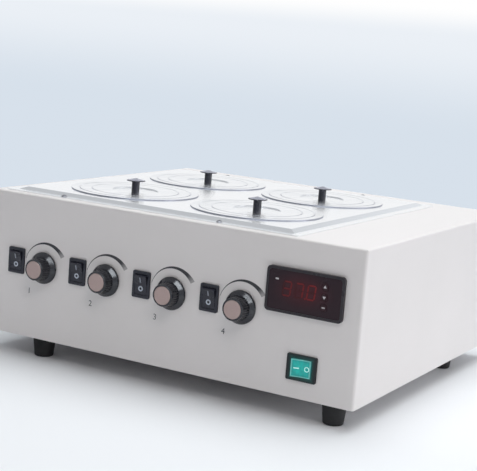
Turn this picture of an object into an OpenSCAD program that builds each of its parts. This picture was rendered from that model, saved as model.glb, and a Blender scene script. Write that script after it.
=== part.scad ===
// Water bath magnetic stirrer with four stations. A painted sheet-metal casing holds a stainless tank under
// a cover plate. Each station closes with two nested rings and a lid, and has its own switch and speed knob.
// Millimetres, +Z up, front towards -Y. The origin lies on the bench under the middle of the casing.

/* [Lids and rings] */
// Diameter of a lid
lid_d = 93; // [80:1:105]
// Width of the inner ring that shows around a lid
inner_land = 13; // [8:0.5:18]
// Width of the outer ring that shows around the inner ring
outer_land = 9; // [6:0.5:14]
// Diameter of the dish pressed into a lid
dish_d = 49; // [40:1:60]
// Sheet thickness of lids and rings
ring_t = 1; // [0.8:0.1:1.5]
// Radial play between nested rings
ring_fit = 0.6; // [0.4:0.1:1]
// Space between outer rings, left to right
gap_x = 13; // [8:1:30]
// Space between outer rings, front to back
gap_y = 17; // [8:1:30]

/* [Lid knobs] */
// Diameter of the stem
stem_d = 8.5; // [6:0.5:12]
// Height of the stem
stem_h = 11; // [8:0.5:20]
// Radius between the stem and the top
stem_fillet = 1.5; // [0.5:0.1:2]
// Diameter of the conical top
top_d = 20; // [14:0.5:28]
// Thickness of the top's edge
top_edge = 0.8; // [0.6:0.1:2]
// Rise of the cone above its edge
top_rise = 2.4; // [1:0.1:5]
// Diameter of the stud through the lid
stud_d = 4; // [3:0.5:5]
// Height of the nut under the lid
nut_h = 3.2; // [2:0.1:5]

/* [Cover plate] */
// Sheet thickness
plate_t = 1; // [0.8:0.1:1.5]
// Reach of the plate past the tank's inner wall
plate_overlap = 26; // [24:0.5:40]
// Width of the flat rim that lies on the deck
rim_flat = 10; // [9:0.5:14]
// Width of the sloped part of the rim
rim_slope = 7; // [4:0.5:8]
// Height of the slope
rim_rise = 2.6; // [1.6:0.1:5]
// Corner radius of the plate
plate_r = 4; // [1:0.5:10]
// Deck left of the plate
plate_left = 10; // [6:1:30]
// Deck in front of the plate
plate_front = 8; // [6:1:30]
// Deck behind the plate
plate_back = 32; // [20:1:60]
// Diameter of the screws in the rim
cover_screw_d = 3; // [2.5:0.5:4]
// Distance between the two screws of the front or back rim
cover_screw_pitch = 185; // [120:1:260]
// Offset of those screws from the middle of the plate
cover_screw_shift = -8; // [-20:1:20]

/* [Tank] */
// Depth of the tank below the deck
tank_depth = 99; // [80:1:140]
// Sheet thickness of the tank
tank_t = 1; // [0.8:0.1:1.5]
// Space from a station hole to the tank's wall
tank_margin = 10.3; // [8:0.1:20]
// Inner corner radius of the tank
tank_r = 20; // [8:1:25]
// Width of the flange that rests on the deck
tank_flange = 5; // [4:0.5:6]
// Play between the tank and the deck's cut-out
tank_fit = 0.8; // [0.4:0.1:1.5]

/* [Shelf, heater and probe] */
// Height of the space under the shelf
shelf_h = 21; // [19:1:40]
// Sheet thickness of the shelf
shelf_t = 1.2; // [1:0.1:2]
// Play between the shelf and the tank's walls
shelf_play = 4; // [2:0.5:8]
// Diameter of the holes in the shelf
shelf_hole_d = 12; // [8:0.5:16]
// Distance between those holes
shelf_pitch = 26; // [22:1:30]
// Plain border of the shelf
shelf_edge = 8; // [6:1:16]
// Width of a shelf leg
leg_w = 20; // [10:1:30]
// Diameter of the heater tube
heater_d = 8; // [6:0.5:10]
// Height of the heater's axis above the tank's floor
heater_z = 11; // [8:0.5:14]
// Distance of the heater from the tank's walls
heater_in = 14; // [12:0.5:20]
// Bend radius at the heater's corners
heater_bend = 22; // [14:1:40]
// Bend radius at the heater's two ends
heater_turn = 9; // [7:0.5:10]
// Distance between the heater's two ends
heater_ends = 50; // [30:1:80]
// Length of the heater's ends and of the probe outside the tank
terminal_len = 12; // [8:1:20]
// Diameter of the temperature probe
probe_d = 6; // [4:0.5:8]
// Length of the probe inside the tank
probe_len = 60; // [30:1:100]
// Width of the collars that seal the heater and the probe
collar_w = 4; // [2:0.5:6]
// Thickness of those collars
collar_t = 3; // [2:0.5:4]

/* [Casing] */
// Sheet thickness
sheet_t = 1.2; // [0.8:0.1:2]
// Radius of the upright edges
corner_r = 3; // [2.5:0.5:8]
// Radius of the folds round the deck
fold_r = 2; // [1.5:0.1:2.4]
// Width of the flange that the base plate is screwed to
flange_w = 14; // [12:1:20]
// Thickness of the base plate
base_t = 1.5; // [1:0.1:3]
// Play around the base plate
base_fit = 0.4; // [0.2:0.1:1]
// Place of the side screws of the base plate, from the corner
base_screw_side = 60; // [40:1:80]
// Place of its front and back screws, from the corner
base_screw_end = 110; // [100:1:150]
// Diameter of the case screws
screw_d = 4; // [3:0.5:5]
// Length of the case screws
screw_len = 8; // [5:1:14]
// Play of a screw in its hole
screw_fit = 0.2; // [0.1:0.1:0.5]

/* [Feet] */
// Height of a foot
foot_h = 22; // [14:1:40]
// Diameter at the casing
foot_top_d = 24.5; // [20:0.5:36]
// Diameter at the bench
foot_tip_d = 20; // [16:0.5:30]
// Left feet, from the casing's left side
foot_left = 63; // [30:1:80]
// Right feet, from the casing's right side
foot_right = 27.5; // [20:0.5:80]
// Front feet, from the casing's front
foot_front = 20; // [18:1:60]
// Back feet, from the casing's back
foot_back = 85; // [20:1:110]
// Depth of the screw's recess in a foot
foot_recess = 10; // [5:1:11]

/* [Stirrers] */
// Diameter of a motor
motor_d = 37; // [28:1:50]
// Height of a motor
motor_h = 26; // [20:1:40]
// Space under the motors
motor_clear = 3; // [2:0.5:10]
// Thickness of the motor plate
motor_plate_t = 2; // [1.5:0.1:3]
// Reach of the motor plate past the motors' axes
motor_plate_rim = 40; // [32:1:50]
// Space between the motor plate and a rotor
rotor_lift = 4; // [3:0.5:8]
// Diameter of a magnet rotor
rotor_d = 54; // [44:1:70]
// Height of a magnet rotor
rotor_h = 10; // [9:0.5:16]
// Space between a rotor and the tank
rotor_gap = 3.5; // [2:0.5:8]
// Diameter of a magnet
magnet_d = 14; // [8:1:16]
// Height of a magnet
magnet_h = 8; // [5:0.5:8]
// Distance of a magnet from the rotor's axis
magnet_in = 17; // [12:0.5:18]
// Diameter of a motor shaft
shaft_d = 5; // [3:0.5:6]
// Radial running clearance of a shaft
shaft_fit = 0.05; // [0.02:0.01:0.1]

/* [Stir controls] */
// Left edge of a control's share of the panel to its switch
switch_in = 36.8; // [20:0.1:37]
// Switch to its speed knob
switch_to_knob = 35; // [28:0.5:37]
// Bare strip between the controls and the temperature controller
row_margin = 20; // [12:1:40]
// Casing top to the switches' middle
switch_drop = 71; // [60:1:90]
// Casing top to the knobs' middle
knob_drop = 74; // [60:1:90]
// Height of a switch
switch_l = 27; // [24:0.5:32]
// Width of a switch
switch_s = 20; // [17:0.5:22]
// Depth of a switch behind the panel
switch_depth = 20; // [14:1:22]

/* [Rocker switches] */
// Width of the frame at the rocker's ends
rim_l = 3; // [2.5:0.1:3.5]
// Width of the frame at the rocker's sides
rim_s = 2.75; // [2.5:0.05:3.5]
// Thickness of the frame in front of the panel
frame_t = 2; // [1.5:0.1:3]
// Wall of the housing behind the panel
housing_wall = 1.2; // [1:0.1:1.4]
// Play around the housing in the panel
panel_fit = 0.25; // [0.1:0.05:0.4]
// Play around a rocker
rocker_gap = 0.3; // [0.2:0.05:0.5]
// Tilt of a rocker to either side
rocker_tilt = 10; // [6:1:12]
// Height of a rocker's ends above its pivot
rocker_end = 3.6; // [3:0.1:5]
// Height of a rocker's middle above its pivot
rocker_mid = 2.2; // [1.5:0.1:3]
// Depth of a rocker behind its pivot
rocker_foot = 4; // [3:0.5:5]
// Diameter of a rocker's pivot pins
pivot_d = 2.4; // [1.6:0.1:3]

/* [Speed knobs] */
// Diameter of the skirt
skirt_d = 33; // [30:0.5:36]
// Height of the skirt's straight edge
skirt_edge = 1.2; // [0.8:0.1:2]
// Height of the skirt with its slope
skirt_h = 5; // [4.6:0.1:7]
// Diameter of the grip at the skirt
grip_d = 24.6; // [24:0.1:26.5]
// Diameter of the grip at its nose
nose_d = 22; // [21.4:0.1:23]
// Height of the plain collar at the nose
nose_collar = 2.2; // [1:0.1:3]
// Height of the knob
knob_h = 16.2; // [14:0.1:20]
// Space between the knob and the panel
knob_gap = 1.2; // [0.8:0.1:2]
// Number of flutes round the grip
flutes = 30; // [16:1:40]
// Radius of a flute
flute_r = 0.8; // [0.5:0.1:1.1]
// Diameter of the cap disc
cap_d = 18.4; // [14:0.1:18.6]
// Thickness of the cap disc
cap_t = 1.2; // [0.8:0.1:2]
// Diameter of the speed spindle
spindle_d = 6; // [4:0.5:6]
// Diameter of the potentiometer
pot_d = 17; // [14:1:24]
// Depth of the potentiometer
pot_h = 10; // [8:1:16]

/* [Temperature controller] */
// Width of the bezel
ctrl_w = 80; // [76:1:96]
// Height of the bezel
ctrl_h = 43; // [40:1:50]
// Corner radius of the bezel
ctrl_r = 4; // [3:0.5:6]
// Thickness of the bezel
bezel_t = 3.5; // [3:0.1:5]
// Reach of the bezel past the case
ctrl_lip = 3; // [2:0.5:4]
// Depth of the case behind the panel
ctrl_depth = 60; // [40:1:90]
// Bezel to the casing's right side
ctrl_right = 18; // [10:1:40]
// Casing top to the bezel
ctrl_drop = 28; // [15:1:40]
// Space between the case and the tank
ctrl_gap = 4; // [3:0.5:20]
// Width of the bezel's edge round the window
bezel_rim = 2.6; // [2:0.1:4]
// Thickness of the tinted window
window_t = 1.5; // [1:0.1:2]
// Depth of the window's face below the bezel's
window_sink = 0.3; // [0.2:0.1:0.5]
// Play around the window and the display
window_fit = 0.1; // [0.05:0.05:0.3]
// Width of the display
display_w = 42; // [36:1:46]
// Height of the display
display_h = 24; // [18:1:26]
// Depth of the display
display_depth = 9; // [6:0.5:14]
// Wall between the display and the keys
display_wall = 1.5; // [1:0.1:3]
// Display above the bezel's middle
display_y = 2.5; // [1:0.5:3]
// Diameter of a key
key_d = 6.5; // [5:0.1:8]
// Distance between keys
key_pitch = 9.6; // [9.2:0.1:11]
// Keys to the bezel's middle, along X
key_x = 20.5; // [19:0.5:28]
// Length of a key
key_len = 6; // [4:0.1:8]
// Radial play of a key
key_fit = 0.3; // [0.2:0.05:0.4]
// Travel of a key, with a little over
key_room = 0.8; // [0.7:0.05:1]

/* [Power switch] */
// Length of the power switch, which lies on its side
power_l = 31; // [28:0.5:36]
// Height of the power switch
power_s = 25; // [20:0.5:30]
// Width of its frame at the rocker's ends
power_rim_l = 4.4; // [4:0.1:5]
// Width of its frame at the rocker's sides
power_rim_s = 3.7; // [3.2:0.1:4.5]
// Depth behind the panel
power_depth = 26; // [18:1:36]
// Bezel of the controller to the power switch
power_drop = 36.5; // [25:0.5:45]
// Power switch to the controller's middle
power_shift = 3; // [-10:0.5:10]

/* [Rear and electrics] */
// Casing's right side to the mains inlet
inlet_right = 50; // [35:1:80]
// Casing's underside to the mains inlet
inlet_up = 50; // [30:1:80]
// Width of the inlet's flange
inlet_w = 31; // [28:0.5:36]
// Height of the inlet's flange
inlet_h = 24; // [22:0.5:28]
// Depth of the inlet behind the panel
inlet_depth = 20; // [18:1:30]
// Number of vent slots
vents = 7; // [3:1:9]
// Width of a vent slot
vent_w = 4; // [2:0.5:5]
// Length of a vent slot
vent_l = 32; // [20:1:40]
// Distance between vent slots
vent_pitch = 9; // [7:0.5:10]
// Drain above the tank's floor
drain_up = 12; // [11:0.5:16]
// Outside diameter of the drain tube
drain_d = 10; // [8:0.5:12]
// Bore of the drain tube
drain_bore = 7; // [4:0.5:7.5]
// Length of the drain tube outside the casing
drain_len = 16; // [12:1:24]
// Wall of the drain cap
drain_cap_t = 2; // [1.5:0.1:3]
// Width of the control board
board_w = 70; // [50:1:76]
// Length of the control board
board_l = 130; // [125:1:160]
// Height of the board's spacers
board_up = 8; // [5:1:15]
// Board to the casing's right side
board_right = 14; // [10:1:20]

/* [Hidden] */
STATIONS = 4;
KEYS = ["key_up", "key_down", "key_set"];
$fn = 48;
CUT = 1;

// Nested rings: each lies with its flange on the ledge of the next one out, and all tops are flush
inner_d = lid_d + 2 * inner_land;
outer_d = inner_d + 2 * outer_land;
inner_pocket_d = lid_d + 2 * ring_fit;
outer_pocket_d = inner_d + 2 * ring_fit;
inner_hole_d = dish_d + 2 * (ring_t + ring_fit);
outer_hole_d = inner_pocket_d + 2 * (ring_t + ring_fit);
plate_hole_d = outer_pocket_d + 2 * (ring_t + ring_fit);
edge_break = 0.3;
stud_fit = 0.1;
stud_over = 1;

// Plan of the bath and the casing
pitch_x = outer_d + gap_x;
pitch_y = outer_d + gap_y;
tank_w = pitch_x + plate_hole_d + 2 * tank_margin;
tank_l = pitch_y + plate_hole_d + 2 * tank_margin;
plate_w = tank_w + 2 * plate_overlap;
plate_l = tank_l + 2 * plate_overlap;
case_w = plate_left + plate_overlap + tank_w + tank_t + ctrl_gap + ctrl_w - ctrl_lip + ctrl_right;
case_l = plate_front + plate_l + plate_back;
bath_x = -case_w / 2 + plate_left + plate_w / 2;
bath_y = -case_l / 2 + plate_front + plate_l / 2;

// Heights, from the bench up
stirrer_h = motor_clear + motor_h + motor_plate_t + rotor_lift + rotor_h + rotor_gap;
case_h = base_t + stirrer_h + tank_t + tank_depth;
base_top = foot_h + base_t;
motor_top = base_top + motor_clear + motor_h;
rotor_z = motor_top + motor_plate_t + rotor_lift;
deck_z = foot_h + case_h;
tank_floor = deck_z - tank_depth;
panel_z = deck_z + plate_t + rim_rise;
weld_gap = 0.05;

// Front panel
ctrl_x = case_w / 2 - ctrl_right - ctrl_w / 2;
ctrl_z = deck_z - ctrl_drop - ctrl_h / 2;
power_x = ctrl_x + power_shift;
power_z = ctrl_z - ctrl_h / 2 - power_drop - power_s / 2;
cell_w = (ctrl_x - ctrl_w / 2 + case_w / 2 - row_margin) / STATIONS;
switch_z = deck_z - switch_drop;
knob_z = deck_z - knob_drop;

// Controller: the window lies in the bezel's recess, and the keys pass through it
ctrl_body_w = ctrl_w - 2 * ctrl_lip;
ctrl_body_h = ctrl_h - 2 * ctrl_lip;
window_w = ctrl_w - 2 * bezel_rim;
window_h = ctrl_h - 2 * bezel_rim;
window_r = ctrl_r - bezel_rim / 2;
window_back = bezel_t - window_sink - window_t;
key_hole_d = key_d + 2 * key_fit;
key_floor = bezel_t - key_len - key_room;
display_x = key_x - key_hole_d / 2 - display_wall - display_w / 2;

// Potentiometer and knob
bushing_d = spindle_d + 2;
bushing_h = 5;
bushing_room = 0.7;
pot_nut_h = 2.2;
pot_nut_room = 1;
pot_nut_d = bushing_d * 1.5;
spindle_in = 7.5;
knob_web = 2;
cap_fit = 0.1;
cap_proud = 0.2;
cap_seat = knob_h - cap_t + cap_proud;
knob_bore_top = cap_seat - knob_web;
knob_recess_h = bushing_h - knob_gap + bushing_room;
knob_recess_r = pot_nut_d / 2 + pot_nut_room;

// Stirrer
shaft_in = 14;
boss_d = 12;
boss_h = 1;
boss_fit = 0.3;
press_gap = 0.02;

// Rocker switches
switch_rim = [rim_s, rim_l];
power_rim = [power_rim_s, power_rim_l];
frame_r = 1.5;
block_r = 1;
pin_skin = 0.1;
pin_play = 0.2;
rocker_room = 3;

// Screws
head_ratio = 2;
head_rise = 0.6;
head_d = head_ratio * screw_d;
screw_hole_d = screw_d + 2 * screw_fit;
cover_hole_d = cover_screw_d + 2 * screw_fit;
flange_mid = sheet_t + flange_w / 2;

// Rear
inlet_x = case_w / 2 - inlet_right;
inlet_z = foot_h + inlet_up;
inlet_lip = 2;
inlet_wall = 1.4;
inlet_cut = 4.5;
inlet_body_w = inlet_w - 2 * inlet_lip;
inlet_body_h = inlet_h - 2 * inlet_lip;
vent_z = inlet_z + inlet_h / 2 + vent_l;
drain_x = bath_x - pitch_x / 2;
drain_z = tank_floor + drain_up;
drain_run = case_l / 2 - bath_y - tank_l / 2;
drain_flange_t = 2.5;
drain_barb = 0.6;
drain_cap_d = drain_d + 2 * (drain_barb + key_fit);

function station_x(i) = bath_x + ((i - 1) % 2 - 0.5) * pitch_x;
function station_y(i) = bath_y + (floor((i - 1) / 2) - 0.5) * pitch_y;
function switch_x(i) = -case_w / 2 + (i - 1) * cell_w + switch_in;
function knob_x(i) = switch_x(i) + switch_to_knob;
function key_y(k) = (1 - k) * key_pitch;
foot_xs = [-case_w / 2 + foot_left, case_w / 2 - foot_right];
foot_ys = [-case_l / 2 + foot_front, case_l / 2 - foot_back];
cover_screw_xs = [for (s = [-0.5, 0.5]) bath_x + cover_screw_shift + s * cover_screw_pitch];
cover_screw_ys = [for (s = [-1, 1]) bath_y + s * (plate_l - rim_flat) / 2];
base_screws = concat(
    [for (s = [-1, 1], t = [-1, 1]) [s * (case_w / 2 - flange_mid), t * (case_l / 2 - base_screw_side)]],
    [for (s = [-1, 1], t = [-1, 1]) [s * (case_w / 2 - base_screw_end), t * (case_l / 2 - flange_mid)]]
);

// Outline of a rectangle with round corners
function round_rect(w, l, r, steps = 6) = [
    for (corner = [0:3], step = [0:steps])
        let (
            turn = 90 * (corner + step / steps),
            side_x = (corner == 0 || corner == 3) ? 1 : -1,
            side_y = corner < 2 ? 1 : -1
        )
        [side_x * (w / 2 - r) + r * cos(turn), side_y * (l / 2 - r) + r * sin(turn)]
];

module slab(w, l, h, r) {
    linear_extrude(h) polygon(round_rect(w, l, r));
}

// Profile with its two upper corners rounded
function arch(w, h, r, steps = 6) = concat(
    [[-w / 2, 0], [w / 2, 0]],
    [for (side = [1, -1], step = [0:steps])
        let (turn = 90 * (side > 0 ? step : steps + step) / steps)
        [side * (w / 2 - r) + r * cos(turn), h - r + r * sin(turn)]]
);

// Box with rounded upright edges, folded over along its top
module folded_box(w, l, h, r, fold) {
    intersection() {
        slab(w, l, h, r);
        rotate([90, 0, 0]) linear_extrude(l + 2 * CUT, center = true) polygon(arch(w, h, fold));
        rotate([90, 0, 90]) linear_extrude(w + 2 * CUT, center = true) polygon(arch(l, h, fold));
    }
}

module at_bath(z) {
    translate([bath_x, bath_y, z]) children();
}

module at_station(i, z) {
    translate([station_x(i), station_y(i), z]) children();
}

// Frame on the front panel: X to the right, Y up, Z out of the panel
module at_front(x, z) {
    translate([x, -case_l / 2, z]) rotate([90, 0, 0]) children();
}

// Frame on the rear panel: X to the left of the casing, Y up, Z out of the panel
module at_back(x, z) {
    translate([x, case_l / 2, z]) rotate([90, 0, 180]) children();
}

module at_controller() {
    at_front(ctrl_x, ctrl_z) children();
}

// The power switch lies on its side, with its upper end to the left
module at_power() {
    at_front(power_x, power_z) rotate([0, 0, 90]) children();
}

// Head above z = 0, shank below it
module pan_screw(d, length) {
    head_r = head_ratio * d / 2;
    head_h = head_rise * d;
    rotate_extrude()
        polygon([
            [0, -length], [d / 2, -length], [d / 2, 0], [head_r, 0],
            [head_r, head_h / 2], [head_r - head_h / 2, head_h], [0, head_h]
        ]);
}

// Outline of a rocker switch's housing behind the panel
function housing_outline(l, s, rim, play = 0) =
    round_rect(s - 2 * (rim[0] - housing_wall - play), l - 2 * (rim[1] - housing_wall - play), block_r);

// Hole through the sheet of a panel whose face is at z = 0
module through_sheet() {
    translate([0, 0, -sheet_t - CUT]) linear_extrude(sheet_t + 2 * CUT) children();
}

module front_cutouts() {
    for (i = [1:STATIONS]) {
        at_front(switch_x(i), switch_z)
            through_sheet() polygon(housing_outline(switch_l, switch_s, switch_rim, panel_fit));
        at_front(knob_x(i), knob_z) through_sheet() circle(d = bushing_d + 2 * panel_fit);
    }
    at_power() through_sheet() polygon(housing_outline(power_l, power_s, power_rim, panel_fit));
    at_controller()
        through_sheet()
            polygon(round_rect(ctrl_body_w + 2 * panel_fit, ctrl_body_h + 2 * panel_fit, block_r));
}

module back_cutouts() {
    at_back(inlet_x, inlet_z)
        through_sheet()
            polygon(round_rect(inlet_body_w + 2 * panel_fit, inlet_body_h + 2 * panel_fit, block_r));
    at_back(drain_x, drain_z) through_sheet() circle(d = drain_d + 2 * panel_fit);
    for (k = [0:vents - 1])
        at_back(inlet_x + (k - (vents - 1) / 2) * vent_pitch, vent_z)
            through_sheet() polygon(round_rect(vent_w, vent_l, 0.45 * vent_w));
}

// Folded box, open at the bottom, with a flange turned in above the base plate
module casing() {
    inside_w = case_w - 2 * sheet_t;
    inside_l = case_l - 2 * sheet_t;
    inside_r = corner_r - sheet_t;
    color("gainsboro")
        difference() {
            translate([0, 0, foot_h]) folded_box(case_w, case_l, case_h, corner_r, fold_r);
            translate([0, 0, foot_h - CUT]) slab(inside_w, inside_l, base_t + CUT, inside_r);
            translate([0, 0, base_top + sheet_t])
                slab(inside_w, inside_l, case_h - base_t - 2 * sheet_t, inside_r);
            translate([0, 0, foot_h])
                slab(case_w - 2 * flange_w, case_l - 2 * flange_w, base_t + 2 * sheet_t, corner_r);
            at_bath(deck_z - sheet_t - CUT)
                slab(tank_w + 2 * (tank_t + tank_fit), tank_l + 2 * (tank_t + tank_fit), sheet_t + 2 * CUT,
                     tank_r + tank_t);
            for (p = base_screws)
                translate([p[0], p[1], base_top - CUT]) cylinder(d = screw_hole_d, h = sheet_t + 2 * CUT);
            for (x = cover_screw_xs, y = cover_screw_ys)
                translate([x, y, deck_z - sheet_t - CUT]) cylinder(d = cover_hole_d, h = sheet_t + 2 * CUT);
            front_cutouts();
            back_cutouts();
        }
}

module base_plate() {
    side = 2 * (sheet_t + base_fit);
    color("gainsboro")
        difference() {
            translate([0, 0, foot_h]) slab(case_w - side, case_l - side, base_t, corner_r - sheet_t);
            for (p = base_screws)
                translate([p[0], p[1], foot_h - CUT]) cylinder(d = screw_hole_d, h = base_t + 2 * CUT);
            for (x = foot_xs, y = foot_ys)
                translate([x, y, foot_h - CUT]) cylinder(d = screw_hole_d, h = base_t + 2 * CUT);
        }
}

// Tapered buffers with a recess for the screw's head
module rubber_feet() {
    soft = 1;
    color("dimgray")
        for (x = foot_xs, y = foot_ys)
            translate([x, y, 0])
                rotate_extrude()
                    polygon([
                        [screw_hole_d / 2, foot_recess], [head_d / 2 + soft, foot_recess],
                        [head_d / 2 + soft, 0], [foot_tip_d / 2 - soft, 0], [foot_tip_d / 2, soft],
                        [foot_top_d / 2, foot_h - soft], [foot_top_d / 2 - soft, foot_h],
                        [screw_hole_d / 2, foot_h]
                    ]);
}

module case_screws() {
    color("silver") {
        for (x = cover_screw_xs, y = cover_screw_ys)
            translate([x, y, deck_z + plate_t]) pan_screw(cover_screw_d, screw_len);
        for (p = base_screws)
            translate([p[0], p[1], foot_h]) rotate([180, 0, 0]) pan_screw(screw_d, screw_len);
        for (x = foot_xs, y = foot_ys)
            translate([x, y, foot_recess]) rotate([180, 0, 0])
                pan_screw(screw_d, foot_h - foot_recess + screw_len);
    }
}

// Drawn tank, hung by its flange in the deck's cut-out
module water_tank() {
    color("silver")
        difference() {
            union() {
                at_bath(tank_floor - tank_t)
                    slab(tank_w + 2 * tank_t, tank_l + 2 * tank_t, tank_depth + 2 * tank_t, tank_r + tank_t);
                at_bath(deck_z)
                    slab(tank_w + 2 * (tank_t + tank_flange), tank_l + 2 * (tank_t + tank_flange), tank_t,
                         tank_r + tank_t + tank_flange);
            }
            at_bath(tank_floor) slab(tank_w, tank_l, tank_depth + tank_t + CUT, tank_r);
            at_bath(tank_floor + heater_z) {
                for (s = [-0.5, 0.5])
                    translate([tank_w / 2 - CUT, s * heater_ends, 0]) rotate([0, 90, 0])
                        cylinder(d = heater_d + 2 * panel_fit, h = tank_t + 2 * CUT);
                translate([tank_w / 2 - CUT, 0, 0]) rotate([0, 90, 0])
                    cylinder(d = probe_d + 2 * panel_fit, h = tank_t + 2 * CUT);
            }
            at_back(drain_x, drain_z)
                translate([0, 0, -drain_run - CUT - tank_t])
                    cylinder(d = drain_d + 2 * panel_fit, h = 2 * (tank_t + CUT));
        }
}

// Solid under the plate's raised panel, with mitred slopes
module raised_panel() {
    low = plate_w - 2 * rim_flat;
    high = low - 2 * rim_slope;
    low_l = plate_l - 2 * rim_flat;
    high_l = low_l - 2 * rim_slope;
    top = plate_t + rim_rise;
    intersection() {
        rotate([90, 0, 0])
            linear_extrude(plate_l, center = true)
                polygon([[-low / 2, 0], [low / 2, 0], [low / 2, plate_t], [high / 2, top], [-high / 2, top],
                         [-low / 2, plate_t]]);
        rotate([90, 0, 90])
            linear_extrude(plate_w, center = true)
                polygon([[-low_l / 2, 0], [low_l / 2, 0], [low_l / 2, plate_t], [high_l / 2, top],
                         [-high_l / 2, top], [-low_l / 2, plate_t]]);
    }
}

// Pressed sheet: a flat rim on the deck, a slope, and a raised panel with a hole for each station
module cover_plate() {
    color("whitesmoke")
        difference() {
            at_bath(deck_z) {
                slab(plate_w, plate_l, plate_t, plate_r);
                raised_panel();
            }
            at_bath(deck_z - plate_t) raised_panel();
            for (i = [1:STATIONS])
                at_station(i, deck_z) cylinder(d = plate_hole_d, h = plate_t + rim_rise + CUT, $fn = 96);
            for (x = cover_screw_xs, y = cover_screw_ys)
                translate([x, y, deck_z - CUT]) cylinder(d = cover_hole_d, h = plate_t + 2 * CUT);
        }
}

// Turned sheet with a flange on top, a step, and a lower ledge; z = 0 is the seat under the flange
module stepped_ring(outside_d, pocket_d, hole_d) {
    rotate_extrude($fn = 96)
        polygon([
            [hole_d / 2, -ring_t], [pocket_d / 2 + ring_t, -ring_t], [pocket_d / 2 + ring_t, 0],
            [outside_d / 2, 0], [outside_d / 2, ring_t - edge_break], [outside_d / 2 - edge_break, ring_t],
            [pocket_d / 2, ring_t], [pocket_d / 2, 0], [hole_d / 2, 0]
        ]);
}

module outer_ring(i) {
    color("whitesmoke") at_station(i, panel_z) stepped_ring(outer_d, outer_pocket_d, outer_hole_d);
}

module inner_ring(i) {
    color("whitesmoke") at_station(i, panel_z) stepped_ring(inner_d, inner_pocket_d, inner_hole_d);
}

module lid(i) {
    color("whitesmoke") at_station(i, panel_z) stepped_ring(lid_d, dish_d, stud_d + 2 * stud_fit);
}

// Moulded knob on a stud, held by a nut under the lid
module lid_knob(i) {
    stud_len = ring_t + nut_h + stud_over;
    nut_d = 2 * stud_d;
    cone_z = stem_h + top_edge;
    color("dimgray")
        at_station(i, panel_z) {
            rotate_extrude()
                polygon(concat(
                    [[0, -stud_len], [stud_d / 2, -stud_len], [stud_d / 2, 0], [stem_d / 2, 0]],
                    [for (turn = [0:15:90])
                        [stem_d / 2, stem_h] + stem_fillet * [1 - cos(turn), sin(turn) - 1]],
                    [[top_d / 2, stem_h], [top_d / 2, cone_z], [0, cone_z + top_rise]]
                ));
            translate([0, 0, -ring_t - nut_h])
                difference() {
                    cylinder(d = nut_d, h = nut_h, $fn = 6);
                    translate([0, 0, -CUT]) cylinder(d = stud_d + 2 * stud_fit, h = nut_h + 2 * CUT);
                }
        }
}

// Perforated plate over the heater, with four legs spot welded under it
module vessel_shelf() {
    shelf_w = tank_w - 2 * shelf_play;
    shelf_l = tank_l - 2 * shelf_play;
    columns = floor((shelf_w / 2 - shelf_edge - shelf_hole_d / 2) / shelf_pitch);
    rows = floor((shelf_l / 2 - shelf_edge - shelf_hole_d / 2) / shelf_pitch);
    leg_row = (rows - 0.5) * shelf_pitch;
    leg_x = (columns - 0.5) * shelf_pitch;
    color("silver")
        at_bath(tank_floor) {
            translate([0, 0, shelf_h])
                linear_extrude(shelf_t)
                    difference() {
                        polygon(round_rect(shelf_w, shelf_l, tank_r));
                        for (column = [-columns:columns], row = [-rows:rows])
                            translate([column, row] * shelf_pitch) circle(d = shelf_hole_d);
                    }
            for (x = [-leg_x, leg_x], y = [-leg_row, leg_row])
                translate([x - leg_w / 2, y - shelf_t / 2, 0]) cube([leg_w, shelf_t, shelf_h - weld_gap]);
        }
}

module tube_bend(centre, start, bend_r, d) {
    translate(centre) rotate([0, 0, start]) rotate_extrude(angle = 90) translate([bend_r, 0]) circle(d = d);
}

module tube_run(from, length, turn, d) {
    translate(from) rotate([0, 0, turn]) rotate([0, 90, 0]) cylinder(d = d, h = length);
}

// Collar against the inside of the tank's right wall
module wall_collar(y, d) {
    translate([tank_w / 2 - collar_t, y, 0]) rotate([0, 90, 0]) cylinder(d = d + 2 * collar_w, h = collar_t);
}

// One bent tube round the tank's floor, with both ends out through the right wall
module heater_tube() {
    run_x = tank_w / 2 - heater_in;
    run_y = tank_l / 2 - heater_in;
    corner_x = run_x - heater_bend;
    corner_y = run_y - heater_bend;
    end_y = heater_ends / 2;
    turn_x = run_x + heater_turn;
    turn_y = end_y + heater_turn;
    end_len = tank_w / 2 + tank_t + terminal_len - turn_x;
    color("darkgray")
        at_bath(tank_floor + heater_z) {
            for (side = [-1, 1]) {
                tube_run([-corner_x, side * run_y, 0], 2 * corner_x, 0, heater_d);
                tube_run([run_x, side > 0 ? turn_y : -corner_y, 0], corner_y - turn_y, 90, heater_d);
                tube_run([turn_x, side * end_y, 0], end_len, 0, heater_d);
                wall_collar(side * end_y, heater_d);
                tube_bend([corner_x, side * corner_y, 0], side > 0 ? 0 : 270, heater_bend, heater_d);
                tube_bend([-corner_x, side * corner_y, 0], side > 0 ? 90 : 180, heater_bend, heater_d);
                tube_bend([turn_x, side * turn_y, 0], side > 0 ? 180 : 90, heater_turn, heater_d);
            }
            tube_run([-run_x, -corner_y, 0], 2 * corner_y, 90, heater_d);
        }
}

module temperature_probe() {
    color("silver")
        at_bath(tank_floor + heater_z) {
            tube_run([tank_w / 2 - probe_len, 0, 0], probe_len + tank_t + terminal_len, 0, probe_d);
            wall_collar(0, probe_d);
        }
}

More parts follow.
